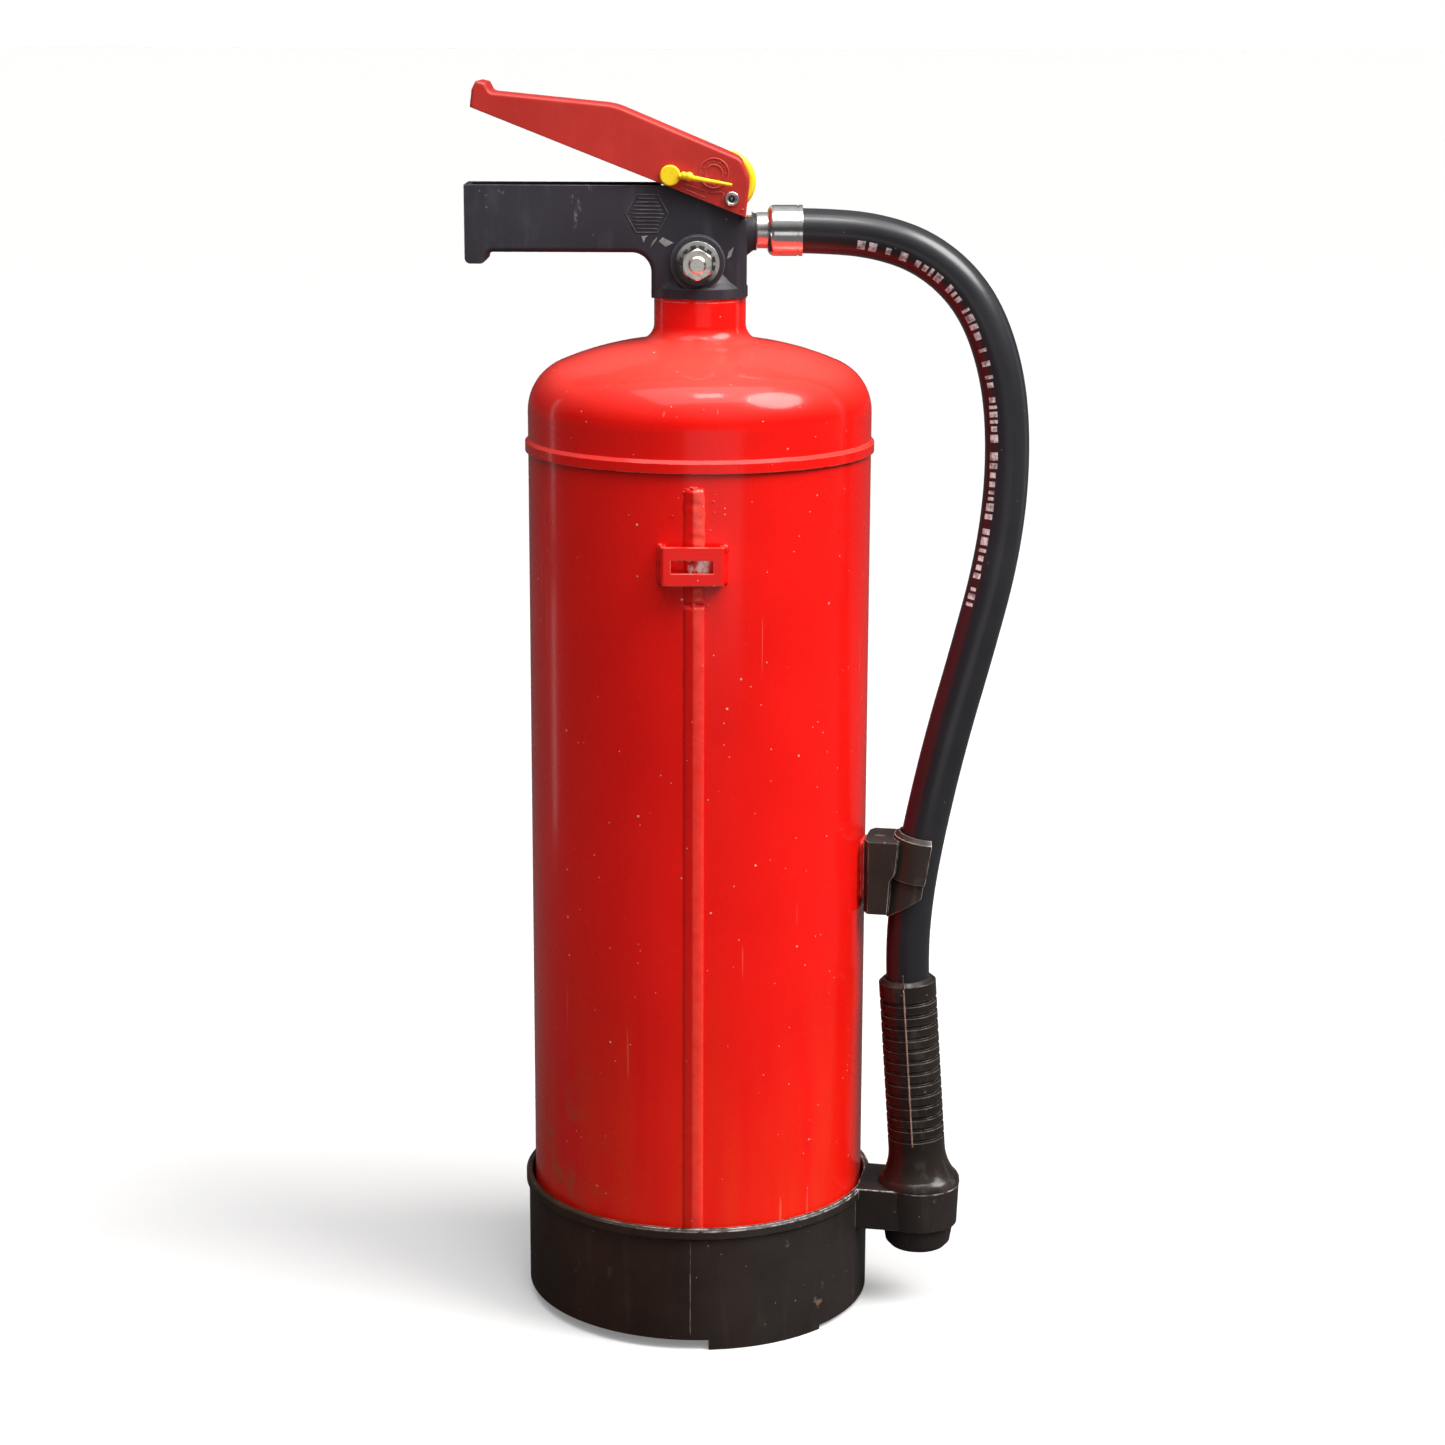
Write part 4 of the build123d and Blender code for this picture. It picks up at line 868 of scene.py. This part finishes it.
def make_dial():
    """The dial's three bands, its ticks and its plain numbers."""
    sweep, green = 110, 31              # degrees to each side of upright
    inner, outer = 0.0088, 0.0112
    dial_band("dial_low_band", inner, outer, -sweep, -green - 1, DIAL_RED)
    dial_band("dial_working_band", inner, outer, -green, green, DIAL_GREEN)
    dial_band("dial_high_band", inner, outer, green + 1, sweep, DIAL_RED)
    ticks, half_tick = 9, 1.2
    for i in range(ticks):
        angle = -sweep + i * 2 * sweep / (ticks - 1)
        dial_band(f"dial_tick_{i}", 0.0118, 0.0132, angle - half_tick, angle + half_tick, DIAL_BLACK)
    for text, angle in (("0", -sweep), ("10", -sweep / 2), ("15", 0), ("20", sweep / 2), ("30", sweep)):
        make_dial_number(text, angle)


def make_dial_number(text, angle):
    """A number of the scale, inside the band."""
    half_depth = 0.00006
    curve = bpy.data.curves.new(f"dial_number_{text}", "FONT")
    curve.body = text
    curve.size = 0.0030
    curve.align_x = "CENTER"
    curve.align_y = "CENTER"
    curve.extrude = half_depth
    curve.materials.append(DIAL_BLACK)
    holder = bpy.data.objects.new("number", curve)
    scene.collection.objects.link(holder)
    mesh = bpy.data.meshes.new_from_object(holder)
    bpy.data.objects.remove(holder)
    place = dial_point(0.0068, angle, DIAL_FRONT_Y + half_depth)
    mesh.transform(Matrix.Translation(place) @ Euler((pi / 2, 0, pi)).to_matrix().to_4x4())
    piece = bpy.data.objects.new(f"dial_number_{text}", mesh)
    scene.collection.objects.link(piece)
    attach(piece, "extinguisher")


# ---------------------------------------------------------------- floor and light
def make_floor():
    """A wide pale floor."""
    half = 60.0
    corners = [(-half, -half, 0), (half, -half, 0), (half, half, 0), (-half, half, 0)]
    mesh = bpy.data.meshes.new("floor")
    mesh.from_pydata(corners, [], [(0, 1, 2, 3)])
    mesh.materials.append(floor_paint())
    floor = bpy.data.objects.new("floor", mesh)
    scene.collection.objects.link(floor)


MIDDLE = (0.0, 0.0, 0.30)               # the point that the panels face


def aim(light, place, target):
    light.location = place
    light.rotation_euler = (Vector(target) - Vector(place)).to_track_quat("-Z", "Y").to_euler()
    scene.collection.objects.link(light)


def panel(name, place, width, height, brightness):
    """A soft panel that faces the object; brightness is what a mirror would show."""
    data = bpy.data.lights.new(name, "AREA")
    data.shape = "RECTANGLE"
    data.size, data.size_y = width, height
    data.energy = brightness * pi * width * height
    aim(bpy.data.objects.new(name, data), place, MIDDLE)


def wide_light(name, energy, angle, bearing, height, colour, shown=True):
    """A distant light; bearing runs from -Y towards +X, and shown lets glossy surfaces mirror it."""
    data = bpy.data.lights.new(name, "SUN")
    data.energy, data.angle, data.color = energy, radians(angle), colour
    bearing, height = radians(bearing), radians(height)
    place = Vector((sin(bearing) * cos(height), -cos(bearing) * cos(height), sin(height)))
    light = bpy.data.objects.new(name, data)
    light.visible_glossy = shown
    aim(light, place, (0.0, 0.0, 0.0))


def make_room():
    """White where the camera sees it, and otherwise a dim room whose ceiling is brighter than its walls."""
    world = bpy.data.worlds.new("studio")
    world.use_nodes = True
    tree = world.node_tree
    background = tree.nodes["Background"]
    background.inputs["Strength"].default_value = 1.0
    seen = tree.nodes.new("ShaderNodeLightPath").outputs["Is Camera Ray"]
    blend = tree.nodes.new("ShaderNodeMix")
    blend.data_type = "RGBA"
    blend.inputs[7].default_value = (1.0, 1.0, 1.0, 1.0)
    tree.links.new(seen, blend.inputs[0])
    height = tree.nodes.new("ShaderNodeSeparateXYZ")
    tree.links.new(tree.nodes.new("ShaderNodeTexCoord").outputs["Generated"], height.inputs[0])
    room = tree.nodes.new("ShaderNodeMapRange")
    wall_top, ceiling, wall_grey, ceiling_grey = 0.25, 0.95, 0.05, 0.60
    for socket, value in zip(room.inputs[1:5], (wall_top, ceiling, wall_grey, ceiling_grey)):
        socket.default_value = value
    tree.links.new(height.outputs["Z"], room.inputs[0])
    tree.links.new(room.outputs[0], blend.inputs[6])
    tree.links.new(blend.outputs[2], background.inputs["Color"])
    scene.world = world


def make_lights():
    """A sun-like key, two soft lights with no mirror image, and panels that paint and metal mirror."""
    nearly_white = (1.0, 0.99, 0.98)
    wide_light("key", 3.9, 33, 70, 48, (1.0, 0.985, 0.96))
    wide_light("front", 1.0, 50, 20, 40, nearly_white, shown=False)
    wide_light("fill", 0.05, 60, -60, 25, nearly_white, shown=False)
    panel("left_panel", (-1.5, 0.62, 0.55), 0.10, 0.9, 1.5)
    panel("left_card", (-0.62, 0.22, 0.16), 0.05, 0.16, 1.3)
    panel("right_panel", (1.5, 0.55, 0.50), 0.18, 1.2, 1.0)
    panel("top_panel", (0.10, -0.45, 2.1), 2.0, 1.3, 3.0)
    panel("top_card", (0.12, -0.50, 1.9), 0.36, 0.26, 16.0)
    panel("front_card", (0.28, -1.65, 0.20), 1.1, 0.42, 0.7)


# ---------------------------------------------------------------- the scene
make_camera()
route_line = hose_line()
route_frames = carried_frames(route_line)
make_hose(route_line, route_frames)
make_hose_print(route_line, route_frames)
paint_cad_nodes()
make_welds()
make_spatter()
make_lever_marks()
make_pivot_head()
make_handle_marks()
make_nicks()
make_base_line()
make_grip_line()
make_dial()
make_floor()
make_room()
make_lights()
scene.view_settings.view_transform = "Standard"
